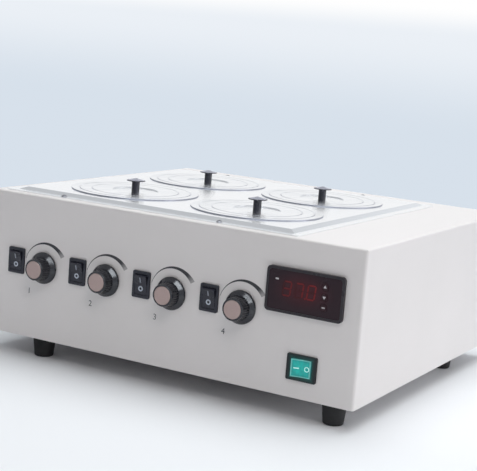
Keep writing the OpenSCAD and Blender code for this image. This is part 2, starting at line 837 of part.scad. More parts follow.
// Bridge over the base plate that the motors hang from
module motor_plate() {
    bridge_w = pitch_x + 2 * motor_plate_rim;
    bridge_l = pitch_y + 2 * motor_plate_rim;
    bridge_foot = 15;
    leg_h = motor_top - base_top;
    color("lightgray")
        difference() {
            at_bath(base_top) {
                translate([-bridge_w / 2, -bridge_l / 2, leg_h]) cube([bridge_w, bridge_l, motor_plate_t]);
                for (side = [0, 1])
                    mirror([side, 0, 0]) {
                        translate([bridge_w / 2 - motor_plate_t, -bridge_l / 2, 0])
                            cube([motor_plate_t, bridge_l, leg_h + motor_plate_t]);
                        translate([bridge_w / 2 - motor_plate_t, -bridge_l / 2, 0])
                            cube([bridge_foot, bridge_l, motor_plate_t]);
                    }
            }
            for (i = [1:STATIONS])
                at_station(i, motor_top - CUT)
                    cylinder(d = boss_d + 2 * boss_fit, h = motor_plate_t + 2 * CUT);
        }
}

module stir_motors() {
    color("slategray")
        for (i = [1:STATIONS])
            at_station(i, motor_top)
                difference() {
                    union() {
                        translate([0, 0, -motor_h]) cylinder(d = motor_d, h = motor_h);
                        cylinder(d = boss_d, h = motor_plate_t + boss_h);
                    }
                    translate([0, 0, -shaft_in - CUT])
                        cylinder(d = shaft_d + 2 * shaft_fit,
                                 h = shaft_in + motor_plate_t + boss_h + 2 * CUT);
                }
}

// Shaft, carrier disc and two magnets that turn together under the tank
module magnet_rotor(i) {
    shaft_top = rotor_z + rotor_h - motor_top;
    color("steelblue")
        at_station(i, motor_top) {
            translate([0, 0, -shaft_in]) cylinder(d = shaft_d, h = shaft_in + shaft_top);
            difference() {
                translate([0, 0, shaft_top - rotor_h]) cylinder(d = rotor_d, h = rotor_h);
                translate([0, 0, shaft_top - rotor_h - CUT])
                    cylinder(d = shaft_d + 2 * press_gap, h = rotor_h + 2 * CUT);
                for (s = [-1, 1])
                    translate([s * magnet_in, 0, shaft_top - magnet_h])
                        cylinder(d = magnet_d + 2 * press_gap, h = magnet_h + CUT);
            }
            for (s = [-1, 1])
                translate([s * magnet_in, 0, shaft_top - magnet_h]) cylinder(d = magnet_d, h = magnet_h);
        }
}

// Frame in front of the panel, box behind it, and a cavity for the rocker
module rocker_housing(l, s, rim, depth) {
    open_l = l - 2 * rim[1];
    open_s = s - 2 * rim[0];
    cavity = rocker_foot + rocker_room;
    blade_w = 6.3;
    blade_t = 0.8;
    blade_l = 7;
    difference() {
        union() {
            slab(s, l, frame_t, frame_r);
            translate([0, 0, -depth]) linear_extrude(depth) polygon(housing_outline(l, s, rim));
            for (y = [-open_l / 4, open_l / 4])
                translate([-blade_w / 2, y - blade_t / 2, -depth - blade_l])
                    cube([blade_w, blade_t, blade_l + CUT]);
        }
        translate([0, 0, -cavity]) slab(open_s, open_l, cavity + frame_t + CUT, block_r / 2);
        rotate([0, 90, 0])
            cylinder(d = pivot_d + 2 * shaft_fit, h = open_s + 2 * (housing_wall - pin_skin), center = true);
    }
}

// Rocker on two pins, at rest with its upper end out; z = 0 is the panel's face
module rocker(l, s, rim) {
    radius = l / 2 - rim[1] - rocker_gap;
    width = s - 2 * (rim[0] + rocker_gap);
    pins = s - 2 * (rim[0] - housing_wall + pin_skin + pin_play);
    rotate([rocker_tilt, 0, 0]) {
        intersection() {
            rotate([0, 90, 0]) cylinder(r = radius, h = width, center = true);
            rotate([90, 0, 90])
                linear_extrude(width + CUT, center = true)
                    polygon([[-radius, -rocker_foot], [radius, -rocker_foot], [radius, rocker_end],
                             [0, rocker_mid], [-radius, rocker_end]]);
        }
        rotate([0, 90, 0]) cylinder(d = pivot_d, h = pins, center = true);
    }
}

module switch_housings() {
    color("dimgray") {
        for (i = [1:STATIONS])
            at_front(switch_x(i), switch_z) rocker_housing(switch_l, switch_s, switch_rim, switch_depth);
        at_power() rocker_housing(power_l, power_s, power_rim, power_depth);
    }
}

module stir_rocker(i) {
    color("darkslategray") at_front(switch_x(i), switch_z) rocker(switch_l, switch_s, switch_rim);
}

module power_rocker() {
    color("mediumturquoise") at_power() rocker(power_l, power_s, power_rim);
}

module potentiometers() {
    color("lightgray")
        for (i = [1:STATIONS])
            at_front(knob_x(i), knob_z)
                difference() {
                    union() {
                        translate([0, 0, -sheet_t - pot_h]) cylinder(d = pot_d, h = pot_h);
                        translate([0, 0, -sheet_t - CUT])
                            cylinder(d = bushing_d, h = sheet_t + bushing_h + CUT);
                        cylinder(d = pot_nut_d, h = pot_nut_h, $fn = 6);
                    }
                    translate([0, 0, -spindle_in - CUT])
                        cylinder(d = spindle_d + 2 * shaft_fit, h = spindle_in + bushing_h + 2 * CUT);
                }
}

module pot_spindle(i) {
    color("silver")
        at_front(knob_x(i), knob_z)
            translate([0, 0, -spindle_in])
                cylinder(d = spindle_d, h = spindle_in + knob_gap + knob_bore_top - edge_break);
}

// Skirted knob: a fluted, tapered grip with a recess for the cap disc
module speed_knob(i) {
    nose_z = knob_h - edge_break * 2;
    lean = atan((grip_d - nose_d) / 2 / (nose_z - skirt_h));
    flute_h = knob_h - nose_collar - skirt_h - flute_r;
    color("dimgray")
        at_front(knob_x(i), knob_z)
            translate([0, 0, knob_gap])
                difference() {
                    rotate_extrude()
                        polygon([
                            [knob_recess_r, 0], [skirt_d / 2, 0], [skirt_d / 2, skirt_edge],
                            [grip_d / 2 + edge_break, skirt_h], [grip_d / 2, skirt_h], [nose_d / 2, nose_z],
                            [nose_d / 2 - 2 * edge_break, knob_h], [cap_d / 2 + cap_fit, knob_h],
                            [cap_d / 2 + cap_fit, cap_seat], [0, cap_seat],
                            [0, knob_bore_top], [spindle_d / 2 + shaft_fit, knob_bore_top],
                            [spindle_d / 2 + shaft_fit, knob_recess_h], [knob_recess_r, knob_recess_h]
                        ]);
                    for (k = [1:flutes])
                        rotate([0, 0, 360 * k / flutes])
                            translate([grip_d / 2, 0, skirt_h]) rotate([0, -lean, 0])
                                translate([0, 0, flute_r]) cylinder(r = flute_r, h = flute_h, $fn = 16);
                }
}

module knob_cap(i) {
    color("rosybrown")
        at_front(knob_x(i), knob_z)
            translate([0, 0, knob_gap + cap_seat])
                rotate_extrude()
                    polygon([[0, 0], [cap_d / 2, 0], [cap_d / 2, cap_t - edge_break],
                             [cap_d / 2 - edge_break, cap_t], [0, cap_t]]);
}

// Bezel and case in one moulding, with a recess for the window, a pocket for the display, and key holes
module controller_case() {
    color("dimgray")
        at_controller()
            difference() {
                union() {
                    slab(ctrl_w, ctrl_h, bezel_t, ctrl_r);
                    translate([0, 0, -ctrl_depth]) slab(ctrl_body_w, ctrl_body_h, ctrl_depth, block_r);
                }
                translate([0, 0, window_back])
                    slab(window_w, window_h, window_t + window_sink + CUT, window_r);
                translate([display_x, display_y, window_back - display_depth])
                    slab(display_w + 2 * window_fit, display_h + 2 * window_fit, display_depth + CUT,
                         block_r);
                for (k = [0:2])
                    translate([key_x, key_y(k), key_floor])
                        cylinder(d = key_hole_d, h = bezel_t - key_floor + CUT);
            }
}

module display_window() {
    color("maroon")
        at_controller()
            difference() {
                translate([0, 0, window_back])
                    slab(window_w - 2 * window_fit, window_h - 2 * window_fit, window_t,
                         window_r - window_fit);
                for (k = [0:2])
                    translate([key_x, key_y(k), window_back - CUT])
                        cylinder(d = key_hole_d, h = window_t + 2 * CUT);
            }
}

module display_module() {
    color("firebrick")
        at_controller()
            translate([display_x, display_y, window_back - display_depth])
                slab(display_w, display_h, display_depth - window_fit, block_r);
}

module key(k) {
    color("darkslategray")
        at_controller() translate([key_x, key_y(k), key_floor + key_room]) cylinder(d = key_d, h = key_len);
}

// Board on four spacers, with a transformer, a heat sink and two capacitors
module control_board() {
    board_t = 1.6;
    board_x = case_w / 2 - board_right - board_w / 2;
    spacer_d = 6;
    spacer_in = 5;
    transformer_w = 44;
    transformer_l = 38;
    transformer_h = 30;
    sink_w = 44;
    sink_l = 31;
    sink_t = 4;
    fin_t = 3;
    fin_h = 24;
    fins = 5;
    capacitor_d = 12;
    capacitor_h = 22;
    clear = 12;
    color("seagreen")
        translate([board_x, bath_y, base_top]) {
            for (x = [-1, 1], y = [-1, 1])
                translate([x * (board_w / 2 - spacer_in), y * (board_l / 2 - spacer_in), 0])
                    cylinder(d = spacer_d, h = board_up);
            translate([-board_w / 2, -board_l / 2, board_up]) cube([board_w, board_l, board_t]);
            translate([0, 0, board_up + board_t]) {
                translate([-transformer_w / 2, -clear - transformer_l, 0])
                    cube([transformer_w, transformer_l, transformer_h]);
                translate([-sink_w / 2, clear, 0]) cube([sink_w, sink_l, sink_t]);
                for (k = [0:fins - 1])
                    translate([-sink_w / 2, clear + k * (sink_l - fin_t) / (fins - 1), 0])
                        cube([sink_w, fin_t, fin_h]);
                for (x = [-clear, clear])
                    translate([x, 0, 0]) cylinder(d = capacitor_d, h = capacitor_h);
            }
        }
}

// Mouth of an appliance inlet, with its two upper corners cut off
function inlet_mouth(w, h, cut) = [
    [-w / 2, -h / 2], [w / 2, -h / 2], [w / 2, h / 2 - cut], [w / 2 - cut, h / 2], [cut - w / 2, h / 2],
    [-w / 2, h / 2 - cut]
];

// Appliance inlet: flange, box, cavity and three flat pins
module mains_inlet() {
    cavity = 16;
    pin_w = 2;
    pin_t = 4;
    pin_l = 11;
    pin_pitch = 7;
    pin_step = 2;
    color("dimgray")
        at_back(inlet_x, inlet_z) {
            difference() {
                union() {
                    slab(inlet_w, inlet_h, frame_t, frame_r);
                    translate([0, 0, -inlet_depth]) slab(inlet_body_w, inlet_body_h, inlet_depth, block_r);
                }
                translate([0, 0, -cavity])
                    linear_extrude(cavity + frame_t + CUT)
                        polygon(inlet_mouth(inlet_body_w - 2 * inlet_wall, inlet_body_h - 2 * inlet_wall,
                                            inlet_cut));
            }
            for (k = [-1:1])
                translate([k * pin_pitch, (k == 0 ? 1 : -1) * pin_step, -cavity - CUT])
                    translate([-pin_w / 2, -pin_t / 2, 0]) cube([pin_w, pin_t, pin_l + CUT]);
        }
}

// Flanged tube from the tank's rear wall out through the casing, with a barb at its end
module drain_nozzle() {
    barb_l = 6;
    color("silver")
        at_back(drain_x, drain_z)
            rotate_extrude()
                polygon([
                    [drain_bore / 2, -drain_run - collar_t], [drain_d / 2 + collar_w, -drain_run - collar_t],
                    [drain_d / 2 + collar_w, -drain_run], [drain_d / 2, -drain_run], [drain_d / 2, 0],
                    [drain_d / 2 + collar_w, 0], [drain_d / 2 + collar_w, drain_flange_t],
                    [drain_d / 2, drain_flange_t], [drain_d / 2, drain_len - barb_l],
                    [drain_d / 2 + drain_barb, drain_len - barb_l], [drain_d / 2 - drain_barb, drain_len],
                    [drain_bore / 2, drain_len]
                ]);
}

// Rubber cup over the barb, with a bead to pull it by
module drain_cap() {
    shut = drain_len + key_fit;
    outside = drain_cap_d / 2 + drain_cap_t;
    bead = 1;
    color("dimgray")
        at_back(drain_x, drain_z)
            rotate_extrude()
                polygon([
                    [drain_cap_d / 2, drain_flange_t], [outside, drain_flange_t], [outside, shut - bead],
                    [outside + bead, shut], [outside + bead, shut + drain_cap_t - bead],
                    [outside, shut + drain_cap_t], [0, shut + drain_cap_t], [0, shut],
                    [drain_cap_d / 2, shut]
                ]);
}

casing();
base_plate();
rubber_feet();
case_screws();
water_tank();
cover_plate();
vessel_shelf();
heater_tube();
temperature_probe();
motor_plate();
stir_motors();
potentiometers();
switch_housings();
controller_case();
display_window();
display_module();
control_board();
mains_inlet();
drain_nozzle();
drain_cap();
power_rocker();
for (k = [0:2])
    key(k);
for (i = [1:STATIONS]) {
    outer_ring(i);
    inner_ring(i);
    lid(i);
    lid_knob(i);
    speed_knob(i);
    knob_cap(i);
    pot_spindle(i);
    stir_rocker(i);
    magnet_rotor(i);
}
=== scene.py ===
# A heated water bath with four magnetic stirring stations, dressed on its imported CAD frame.
# The sections follow the order in which the bath is put together, from the casing to the last knob.

import math

import bmesh
import bpy
from mathutils import Matrix, Quaternion, Vector


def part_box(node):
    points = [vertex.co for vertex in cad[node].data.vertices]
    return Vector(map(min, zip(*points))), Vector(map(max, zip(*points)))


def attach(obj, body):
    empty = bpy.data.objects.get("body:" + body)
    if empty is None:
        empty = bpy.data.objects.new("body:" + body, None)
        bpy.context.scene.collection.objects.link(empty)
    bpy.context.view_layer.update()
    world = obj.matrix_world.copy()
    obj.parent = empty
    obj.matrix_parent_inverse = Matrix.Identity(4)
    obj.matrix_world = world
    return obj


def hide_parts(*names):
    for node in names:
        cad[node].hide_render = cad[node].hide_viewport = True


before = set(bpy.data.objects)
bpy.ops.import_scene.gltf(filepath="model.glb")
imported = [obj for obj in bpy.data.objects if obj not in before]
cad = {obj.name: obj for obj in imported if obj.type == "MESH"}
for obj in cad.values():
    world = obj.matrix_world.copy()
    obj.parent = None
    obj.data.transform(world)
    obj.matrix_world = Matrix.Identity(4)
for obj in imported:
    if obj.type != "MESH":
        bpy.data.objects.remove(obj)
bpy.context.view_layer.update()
scene = bpy.context.scene
scene.view_settings.view_transform = "Standard"


# Camera
# It stands to the right of the front panel, just above the level of the lids, and looks slightly down.
# It is held a little askew, so the upright edges of the casing lean in the picture.
camera_place = Vector((0.6615, -1.2588, 0.3596))
camera_turn, camera_drop, camera_lean = (math.radians(a) for a in (28.59, 9.1, 4.65))
ahead = Vector((
    -math.sin(camera_turn) * math.cos(camera_drop),
    math.cos(camera_turn) * math.cos(camera_drop),
    -math.sin(camera_drop),
))
level = ahead.cross(Vector((0, 0, 1))).normalized()
under = ahead.cross(level)
camera_right = math.cos(camera_lean) * level - math.sin(camera_lean) * under
camera_down = math.sin(camera_lean) * level + math.cos(camera_lean) * under
camera_data = bpy.data.cameras.new("camera")
camera_data.sensor_width = 36
camera_data.lens = 98.2
camera = bpy.data.objects.new("camera", camera_data)
camera.matrix_world = (
    Matrix.Translation(camera_place) @ Matrix((camera_right, -camera_down, -ahead)).transposed().to_4x4()
)
scene.collection.objects.link(camera)
scene.camera = camera


# Studio
# A sheet of pale paper curves up from the floor into a backdrop, and the pale surround is brighter behind the bath.
# Softboxes light the bath from above, the right and the front. A strip adds the gloss on the black mouldings.
def give(tree, socket, source):
    """Links a socket to another one, or sets it to a plain value."""
    if isinstance(source, bpy.types.NodeSocket):
        tree.links.new(source, socket)
    else:
        socket.default_value = source


def feed(tree, node, *sources, **values):
    """Fills a node's sockets in turn, and its settings and other sockets by name."""
    fed = list(zip(node.inputs, sources))
    for name, value in values.items():
        socket = node.inputs.get(name.replace("_", " ").title())
        if socket is None:
            setattr(node, name, value)
        else:
            fed.append((socket, value))
    for socket, value in fed:
        give(tree, socket, value)
    return node


def place_node(tree, kind, *sources, **values):
    return feed(tree, tree.nodes.new(kind), *sources, **values)


def object_place(tree):
    return place_node(tree, "ShaderNodeTexCoord").outputs["Object"]


def sides_of(tree, vector):
    return place_node(tree, "ShaderNodeSeparateXYZ", vector).outputs


def calculate(tree, operation, *sources):
    return place_node(tree, "ShaderNodeMath", *sources, operation=operation).outputs[0]


def calculate_vector(tree, operation, *sources):
    return place_node(tree, "ShaderNodeVectorMath", *sources, operation=operation).outputs


def remap(tree, value, low, high, to_low=0.0, to_high=1.0, interpolation="LINEAR"):
    """Takes a value from the range low to high to another range, and holds it at the ends."""
    made = place_node(
        tree, "ShaderNodeMapRange", value, low, high, to_low, to_high, interpolation_type=interpolation
    )
    return made.outputs["Result"]


def ramp(tree, share, stops, interpolation="LINEAR"):
    """Takes a share from 0 to 1 to a colour, through stops of a place and a shade each."""
    made = place_node(tree, "ShaderNodeValToRGB", share)
    made.color_ramp.interpolation = interpolation
    elements = made.color_ramp.elements
    while len(elements) < len(stops):
        elements.new(0.5)
    for stop, (place, shade) in zip(elements, stops):
        stop.position = place
        stop.color = (*shade, 1)
    return made.outputs["Color"]


def nodes_of(material):
    return material.node_tree, material.node_tree.nodes["Principled BSDF"]


def new_material(name, color, roughness, metallic=0.0, specular=0.5, glow=(1, 1, 1), glow_strength=0.0):
    material = bpy.data.materials.new(name)
    material.use_nodes = True
    material.diffuse_color = (*color, 1)
    tree, shader = nodes_of(material)
    feed(tree, shader, base_color=(*color, 1), roughness=roughness, metallic=metallic, emission_color=(*glow, 1),
         emission_strength=glow_strength)
    shader.inputs["Specular IOR Level"].default_value = specular
    return material


floor_half, curve_start, curve_radius, curve_turn = 14.0, 2.4, 1.2, math.radians(80)
floor_mesh = bmesh.new()
floor_edge = floor_mesh.edges.new([floor_mesh.verts.new((x, -floor_half, 0)) for x in (-floor_half, floor_half)])
floor_run = bmesh.ops.extrude_edge_only(floor_mesh, edges=[floor_edge])["geom"]
floor_far = [v for v in floor_run if isinstance(v, bmesh.types.BMVert)]
bmesh.ops.translate(floor_mesh, verts=floor_far, vec=(0, floor_half + curve_start, 0))
curve_edge = [e for e in floor_run if isinstance(e, bmesh.types.BMEdge) and all(v in floor_far for v in e.verts)]
bmesh.ops.spin(
    floor_mesh, geom=curve_edge, cent=(0, curve_start, curve_radius), axis=(1, 0, 0), dvec=(0, 0, 0),
    angle=curve_turn, steps=24,
)
bmesh.ops.recalc_face_normals(floor_mesh, faces=floor_mesh.faces)
floor_data = bpy.data.meshes.new("studio_floor")
floor_mesh.to_mesh(floor_data)
floor_mesh.free()
floor_data.shade_smooth()
floor = bpy.data.objects.new("studio_floor", floor_data)
scene.collection.objects.link(floor)
floor_material = new_material("studio_paper", (0.82, 0.83, 0.85), 0.9)
floor_data.materials.append(floor_material)


def shown_rays(tree):
    """1 for what the camera, a reflection or glass sees, 0 for what lights the object."""
    path = place_node(tree, "ShaderNodeLightPath").outputs
    seen = calculate(tree, "MAXIMUM", path["Is Camera Ray"], path["Is Glossy Ray"])
    return calculate(tree, "MAXIMUM", seen, path["Is Transmission Ray"])


# Near the bath the paper is lit like any paper. Further away it turns into an even backdrop.
floor_tree, floor_shader = nodes_of(floor_material)
floor_place = object_place(floor_tree)
backdrop_low, backdrop_high = 0.05, 0.65
paper_reach, backdrop_reach = 0.45, 1.3
backdrop_rise = remap(floor_tree, sides_of(floor_tree, floor_place)["Z"], backdrop_low, backdrop_high)
backdrop_tint = ramp(floor_tree, backdrop_rise, (
    (0.0, (0.68, 0.75, 0.83)), (0.55, (0.83, 0.87, 0.92)), (0.74, (1.0, 1.0, 1.0)),
), "EASE")
backdrop_glow = place_node(floor_tree, "ShaderNodeEmission", backdrop_tint)
floor_reach = calculate_vector(floor_tree, "LENGTH", floor_place)["Value"]
far_away = remap(floor_tree, floor_reach, paper_reach, backdrop_reach, interpolation="SMOOTHSTEP")
paper_or_glow = place_node(
    floor_tree, "ShaderNodeMixShader", calculate(floor_tree, "MULTIPLY", far_away, shown_rays(floor_tree)),
    floor_shader.outputs["BSDF"], backdrop_glow.outputs["Emission"],
)
feed(floor_tree, floor_tree.nodes["Material Output"], surface=paper_or_glow.outputs["Shader"])

world = bpy.data.worlds.new("studio_surround")
scene.world = world
world.use_nodes = True
world_tree = world.node_tree
light_from, shade_end, light_end = (0.25, 0.62, 0.74), -0.75, 0.65
fade_low, fade_high = 0.25, 0.50
shade_strength, lighting_strength, top_strength = 0.30, 0.44, 0.58
direction = place_node(world_tree, "ShaderNodeTexCoord").outputs["Generated"]
towards_light = calculate_vector(world_tree, "DOT_PRODUCT", direction, light_from)["Value"]
lit_side = remap(world_tree, towards_light, shade_end, light_end, shade_strength, 1.0, "SMOOTHSTEP")
sky_height = sides_of(world_tree, direction)["Z"]
sky_fade = remap(world_tree, sky_height, fade_low, fade_high, 1.0, top_strength, "SMOOTHSTEP")
brightness = remap(world_tree, shown_rays(world_tree), 0.0, 1.0, lighting_strength, sky_fade)
feed(world_tree, world_tree.nodes["Background"], color=(0.93, 0.96, 1.0, 1),
     strength=calculate(world_tree, "MULTIPLY", lit_side, brightness))

for lamp_name, place, target, (width, height), roll, power, tint in (
    ("overhead_softbox", (0.2, 0.3, 2.2), (0, 0, 0.17), (1.8, 1.8), 0, 37, (0.95, 0.99, 1)),
    ("right_softbox", (2.2, 0.5, 0.8), (0, 0.1, 0.10), (1.2, 1.2), 0, 12.3, (0.97, 0.98, 1)),
    ("front_softbox", (1.0, -1.28, 1.6), (0, -0.2, 0.10), (0.55, 0.55), 0, 6.5, (1, 0.95, 0.92)),
    ("gloss_strip", (0.80, -1.24, 1.52), (0, -0.2, 0.10), (1.8, 0.28), -55, 17, (0.88, 0.94, 1)),
):
    lamp_data = bpy.data.lights.new(lamp_name, "AREA")
    lamp_data.shape = "RECTANGLE"
    lamp_data.size = width
    lamp_data.size_y = height
    lamp_data.energy = power
    lamp_data.color = tint
    lamp = bpy.data.objects.new(lamp_name, lamp_data)
    lamp.location = place
    facing = (Vector(target) - Vector(place)).to_track_quat("-Z", "Y")
    lamp.rotation_euler = (facing @ Quaternion((0, 0, 1), math.radians(roll))).to_euler()
    lamp.visible_glossy = lamp_name in ("right_softbox", "gloss_strip")
    lamp.visible_diffuse = lamp_name != "gloss_strip"
    scene.collection.objects.link(lamp)


# Casing
# One folded box of 1.2 mm sheet, powder-coated in a warm off-white with the faint ripple that such a coat has.
# The base plate is coated the same, and screws hold it in the box from below.
def new_group(name, inputs, outputs):
    """An empty node group with sockets of the named kinds, given back with its inner ends."""
    group = bpy.data.node_groups.new(name, "ShaderNodeTree")
    for in_out, sockets in (("INPUT", inputs), ("OUTPUT", outputs)):
        for socket, kind in sockets.items():
            group.interface.new_socket(socket, in_out=in_out, socket_type=f"NodeSocket{kind}")
    return group, group.nodes.new("NodeGroupInput").outputs, group.nodes.new("NodeGroupOutput").inputs


def grain_group():
    """A fine noise that can be stretched into a grain, and a coarse one for patches."""
    group, given, result = new_group(
        "grain", {"Fine Scale": "Float", "Patch Scale": "Float", "Stretch": "Vector"},
        {"Fine": "Float", "Patch": "Float"},
    )
    place = object_place(group)
    stretched = place_node(group, "ShaderNodeMapping", place, scale=given["Stretch"]).outputs["Vector"]
    fine = place_node(group, "ShaderNodeTexNoise", stretched, scale=given["Fine Scale"], detail=3.0, roughness=0.55)
    patch = place_node(group, "ShaderNodeTexNoise", place, scale=given["Patch Scale"], detail=4.0, roughness=0.6)
    give(group, result["Fine"], fine.outputs["Fac"])
    give(group, result["Patch"], patch.outputs["Fac"])
    return group


grain = grain_group()
grain_depth = 0.0004
noise_low, noise_high = 0.3, 0.7


def grained_material(name, color, patch_color, roughness, swing, bump, fine, patch, stretch=(1, 1, 1), **finish):
    """A surface with patches of a second colour, a gloss that swings with them, and a fine relief."""
    material = new_material(name, color, roughness, **finish)
    tree, shader = nodes_of(material)
    texture = place_node(
        tree, "ShaderNodeGroup", node_tree=grain, fine_scale=fine, patch_scale=patch, stretch=stretch
    ).outputs
    relief = place_node(tree, "ShaderNodeBump", strength=bump, distance=grain_depth, height=texture["Fine"])
    feed(
        tree, shader, base_color=ramp(tree, texture["Patch"], ((0.35, patch_color), (0.65, color))),
        roughness=remap(tree, texture["Patch"], noise_low, noise_high, roughness - swing, roughness + swing),
        normal=relief.outputs["Normal"],
    )
    return material


def dress(node, material, edge=0.0, angle=40):
    """Gives a CAD node its finish, and rounds over by edge metres what turns by more than angle degrees."""
    piece = cad[node]
    piece.data.materials.clear()
    piece.data.materials.append(material)
    weld = piece.modifiers.new("joined", "WELD")
    weld.merge_threshold = 1e-6
    if edge:
        rounding = piece.modifiers.new("rounded_edges", "BEVEL")
        rounding.width = edge
        rounding.segments = 3
        rounding.limit_method = "ANGLE"
        rounding.angle_limit = math.radians(angle)
        rounding.harden_normals = True


coat = grained_material(
    "powder_coat", (0.785, 0.748, 0.740), (0.762, 0.727, 0.716), roughness=0.42, swing=0.05, bump=0.10,
    fine=700, patch=9,
)
for panel in ("casing", "base_plate"):
    dress(panel, coat, edge=0.0004)


# Feet and screws
# Tapered black rubber buffers, moulded with a slight bloom on their sides. Bright pan-head screws with a cross
# recess hold the cover plate, the base plate and the feet.
foot_rubber = grained_material(
    "foot_rubber", (0.007, 0.007, 0.008), (0.013, 0.012, 0.013), roughness=0.70, swing=0.08, bump=0.25,
    fine=1500, patch=45,
)
dress("rubber_feet", foot_rubber, edge=0.0008, angle=35)
same_point, crease = 1e-7, math.radians(32)


def turned(profile, steps=64):
    """Spins a profile of (radius, height) points round Z."""
    shape = bmesh.new()
    points = [shape.verts.new((radius, 0, height)) for radius, height in profile]
    lines = [shape.edges.new(pair) for pair in zip(points, points[1:])]
    bmesh.ops.spin(
        shape, geom=points + lines, cent=(0, 0, 0), axis=(0, 0, 1), dvec=(0, 0, 0), angle=math.tau, steps=steps,
        use_merge=True,
    )
    bmesh.ops.remove_doubles(shape, verts=shape.verts, dist=same_point)
    bmesh.ops.recalc_face_normals(shape, faces=shape.faces)
    return shape


def round_over(shape, width, angle=30, segments=3):
    """Bevels every edge that turns by more than angle degrees."""
    sharp = [e for e in shape.edges if len(e.link_faces) == 2 and e.calc_face_angle() > math.radians(angle)]
    bmesh.ops.bevel(
        shape, geom=sharp, offset=width, offset_type="OFFSET", segments=segments, profile=0.5, affect="EDGES",
        clamp_overlap=True, material=-1,
    )


def add_piece(name, shape, materials, body, stands_for=()):
    """Makes a finished piece of a mesh in place, and lets it move with a body of the frame."""
    bmesh.ops.remove_doubles(shape, verts=shape.verts, dist=same_point)
    bmesh.ops.recalc_face_normals(shape, faces=shape.faces)
    data = bpy.data.meshes.new(name)
    shape.to_mesh(data)
    shape.free()
    data.shade_smooth()
    data.set_sharp_from_angle(angle=crease)
    for material in materials:
        data.materials.append(material)
    piece = bpy.data.objects.new(name, data)
    scene.collection.objects.link(piece)
    even_shading = piece.modifiers.new("even_shading", "WEIGHTED_NORMAL")
    even_shading.keep_sharp = True
    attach(piece, body)
    if stands_for:
        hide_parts(*stands_for)


def copy_into(target, shape, place):
    """Adds a copy of a mesh to another one, at a place."""
    held = bpy.data.meshes.new("held")
    shape.to_mesh(held)
    held.transform(place)
    target.from_mesh(held)
    bpy.data.meshes.remove(held)


def cut_from(shape, cutter):
    """Takes one mesh away from another, and gives back what is left."""
    pair = []
    for name, mesh in (("blank", shape), ("cutter", cutter)):
        data = bpy.data.meshes.new(name)
        mesh.to_mesh(data)
        mesh.free()
        pair.append(bpy.data.objects.new(name, data))
        scene.collection.objects.link(pair[-1])
    blank, tool = pair
    cut = blank.modifiers.new("cut", "BOOLEAN")
    cut.operation = "DIFFERENCE"
    cut.solver = "EXACT"
    cut.object = tool
    left = bpy.data.meshes.new_from_object(blank.evaluated_get(bpy.context.evaluated_depsgraph_get()))
    result = bmesh.new()
    result.from_mesh(left)
    bpy.data.meshes.remove(left)
    for thing in pair:
        bpy.data.meshes.remove(thing.data)
    return result


def pan_screw(d, length):
    """A pan-head screw with its head over z = 0, and a cross recess cut into the head."""
    head_h = 0.6 * d
    blank = turned([(0, head_h), (0.45 * d, 0.96 * head_h), (0.78 * d, 0.72 * head_h), (0.96 * d, 0.36 * head_h),
                    (d, 0.08 * head_h), (0.98 * d, 0), (d / 2, 0), (d / 2, -length), (0, -length)], 32)
    driver = bmesh.new()
    bmesh.ops.create_cube(driver, size=1)
    bmesh.ops.scale(driver, vec=(1.1 * d, 0.26 * d, head_h), verts=driver.verts)
    bmesh.ops.translate(driver, vec=(0, 0, head_h), verts=driver.verts)
    crossed = driver.copy()
    bmesh.ops.rotate(crossed, cent=(0, 0, 0), matrix=Matrix.Rotation(math.radians(90), 3, "Z"), verts=crossed.verts)
    shape = cut_from(cut_from(blank, driver), crossed)
    for face in shape.faces:
        middle = face.calc_center_median()
        inside = middle.xy.length < 0.6 * d and middle.z > 0.3 * head_h
        face.material_index = 1 if inside and (middle.z < 0.6 * head_h or abs(face.normal.z) < 0.5) else 0
    return shape


screw_steel = grained_material(
    "screw_steel", (0.46, 0.46, 0.49), (0.36, 0.36, 0.39), roughness=0.40, swing=0.08, bump=0.10,
    fine=3000, patch=300, metallic=1.0,
)
recess_dark = grained_material(
    "recess_shadow", (0.05, 0.05, 0.052), (0.03, 0.03, 0.03), roughness=0.5, swing=0.1, bump=0.1,
    fine=3000, patch=300, metallic=1.0,
)
cover_screw, base_screw, foot_screw = pan_screw(0.003, 0.008), pan_screw(0.004, 0.008), pan_screw(0.004, 0.020)
cover_sheet, foot_seat = 0.001, 0.010
cover_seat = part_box("casing")[1][2] + cover_sheet
base_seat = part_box("base_plate")[0][2]
corners = [(s, t) for s in (-1, 1) for t in (-1, 1)]
cover_places = [(x, y) for x in (-0.1325, 0.0525) for y in (-0.182, 0.158)]
base_places = [(s * 0.2068, t * 0.135) for s, t in corners] + [(s * 0.105, t * 0.1868) for s, t in corners]
foot_places = [(x, y) for x in (-0.152, 0.1875) for y in (-0.175, 0.110)]
head_down = Matrix.Rotation(math.pi, 4, "X")
screws = bmesh.new()
for x, y in cover_places:
    copy_into(screws, cover_screw, Matrix.Translation((x, y, cover_seat)) @ Matrix.Rotation(x * 9 + y, 4, "Z"))
for x, y in base_places:
    copy_into(screws, base_screw, Matrix.Translation((x, y, base_seat)) @ head_down @ Matrix.Rotation(x * 7, 4, "Z"))
for x, y in foot_places:
    copy_into(screws, foot_screw, Matrix.Translation((x, y, foot_seat)) @ head_down)
for shape in (cover_screw, base_screw, foot_screw):
    shape.free()
add_piece("case_screw_set", screws, [screw_steel, recess_dark], "bath", ["case_screws"])


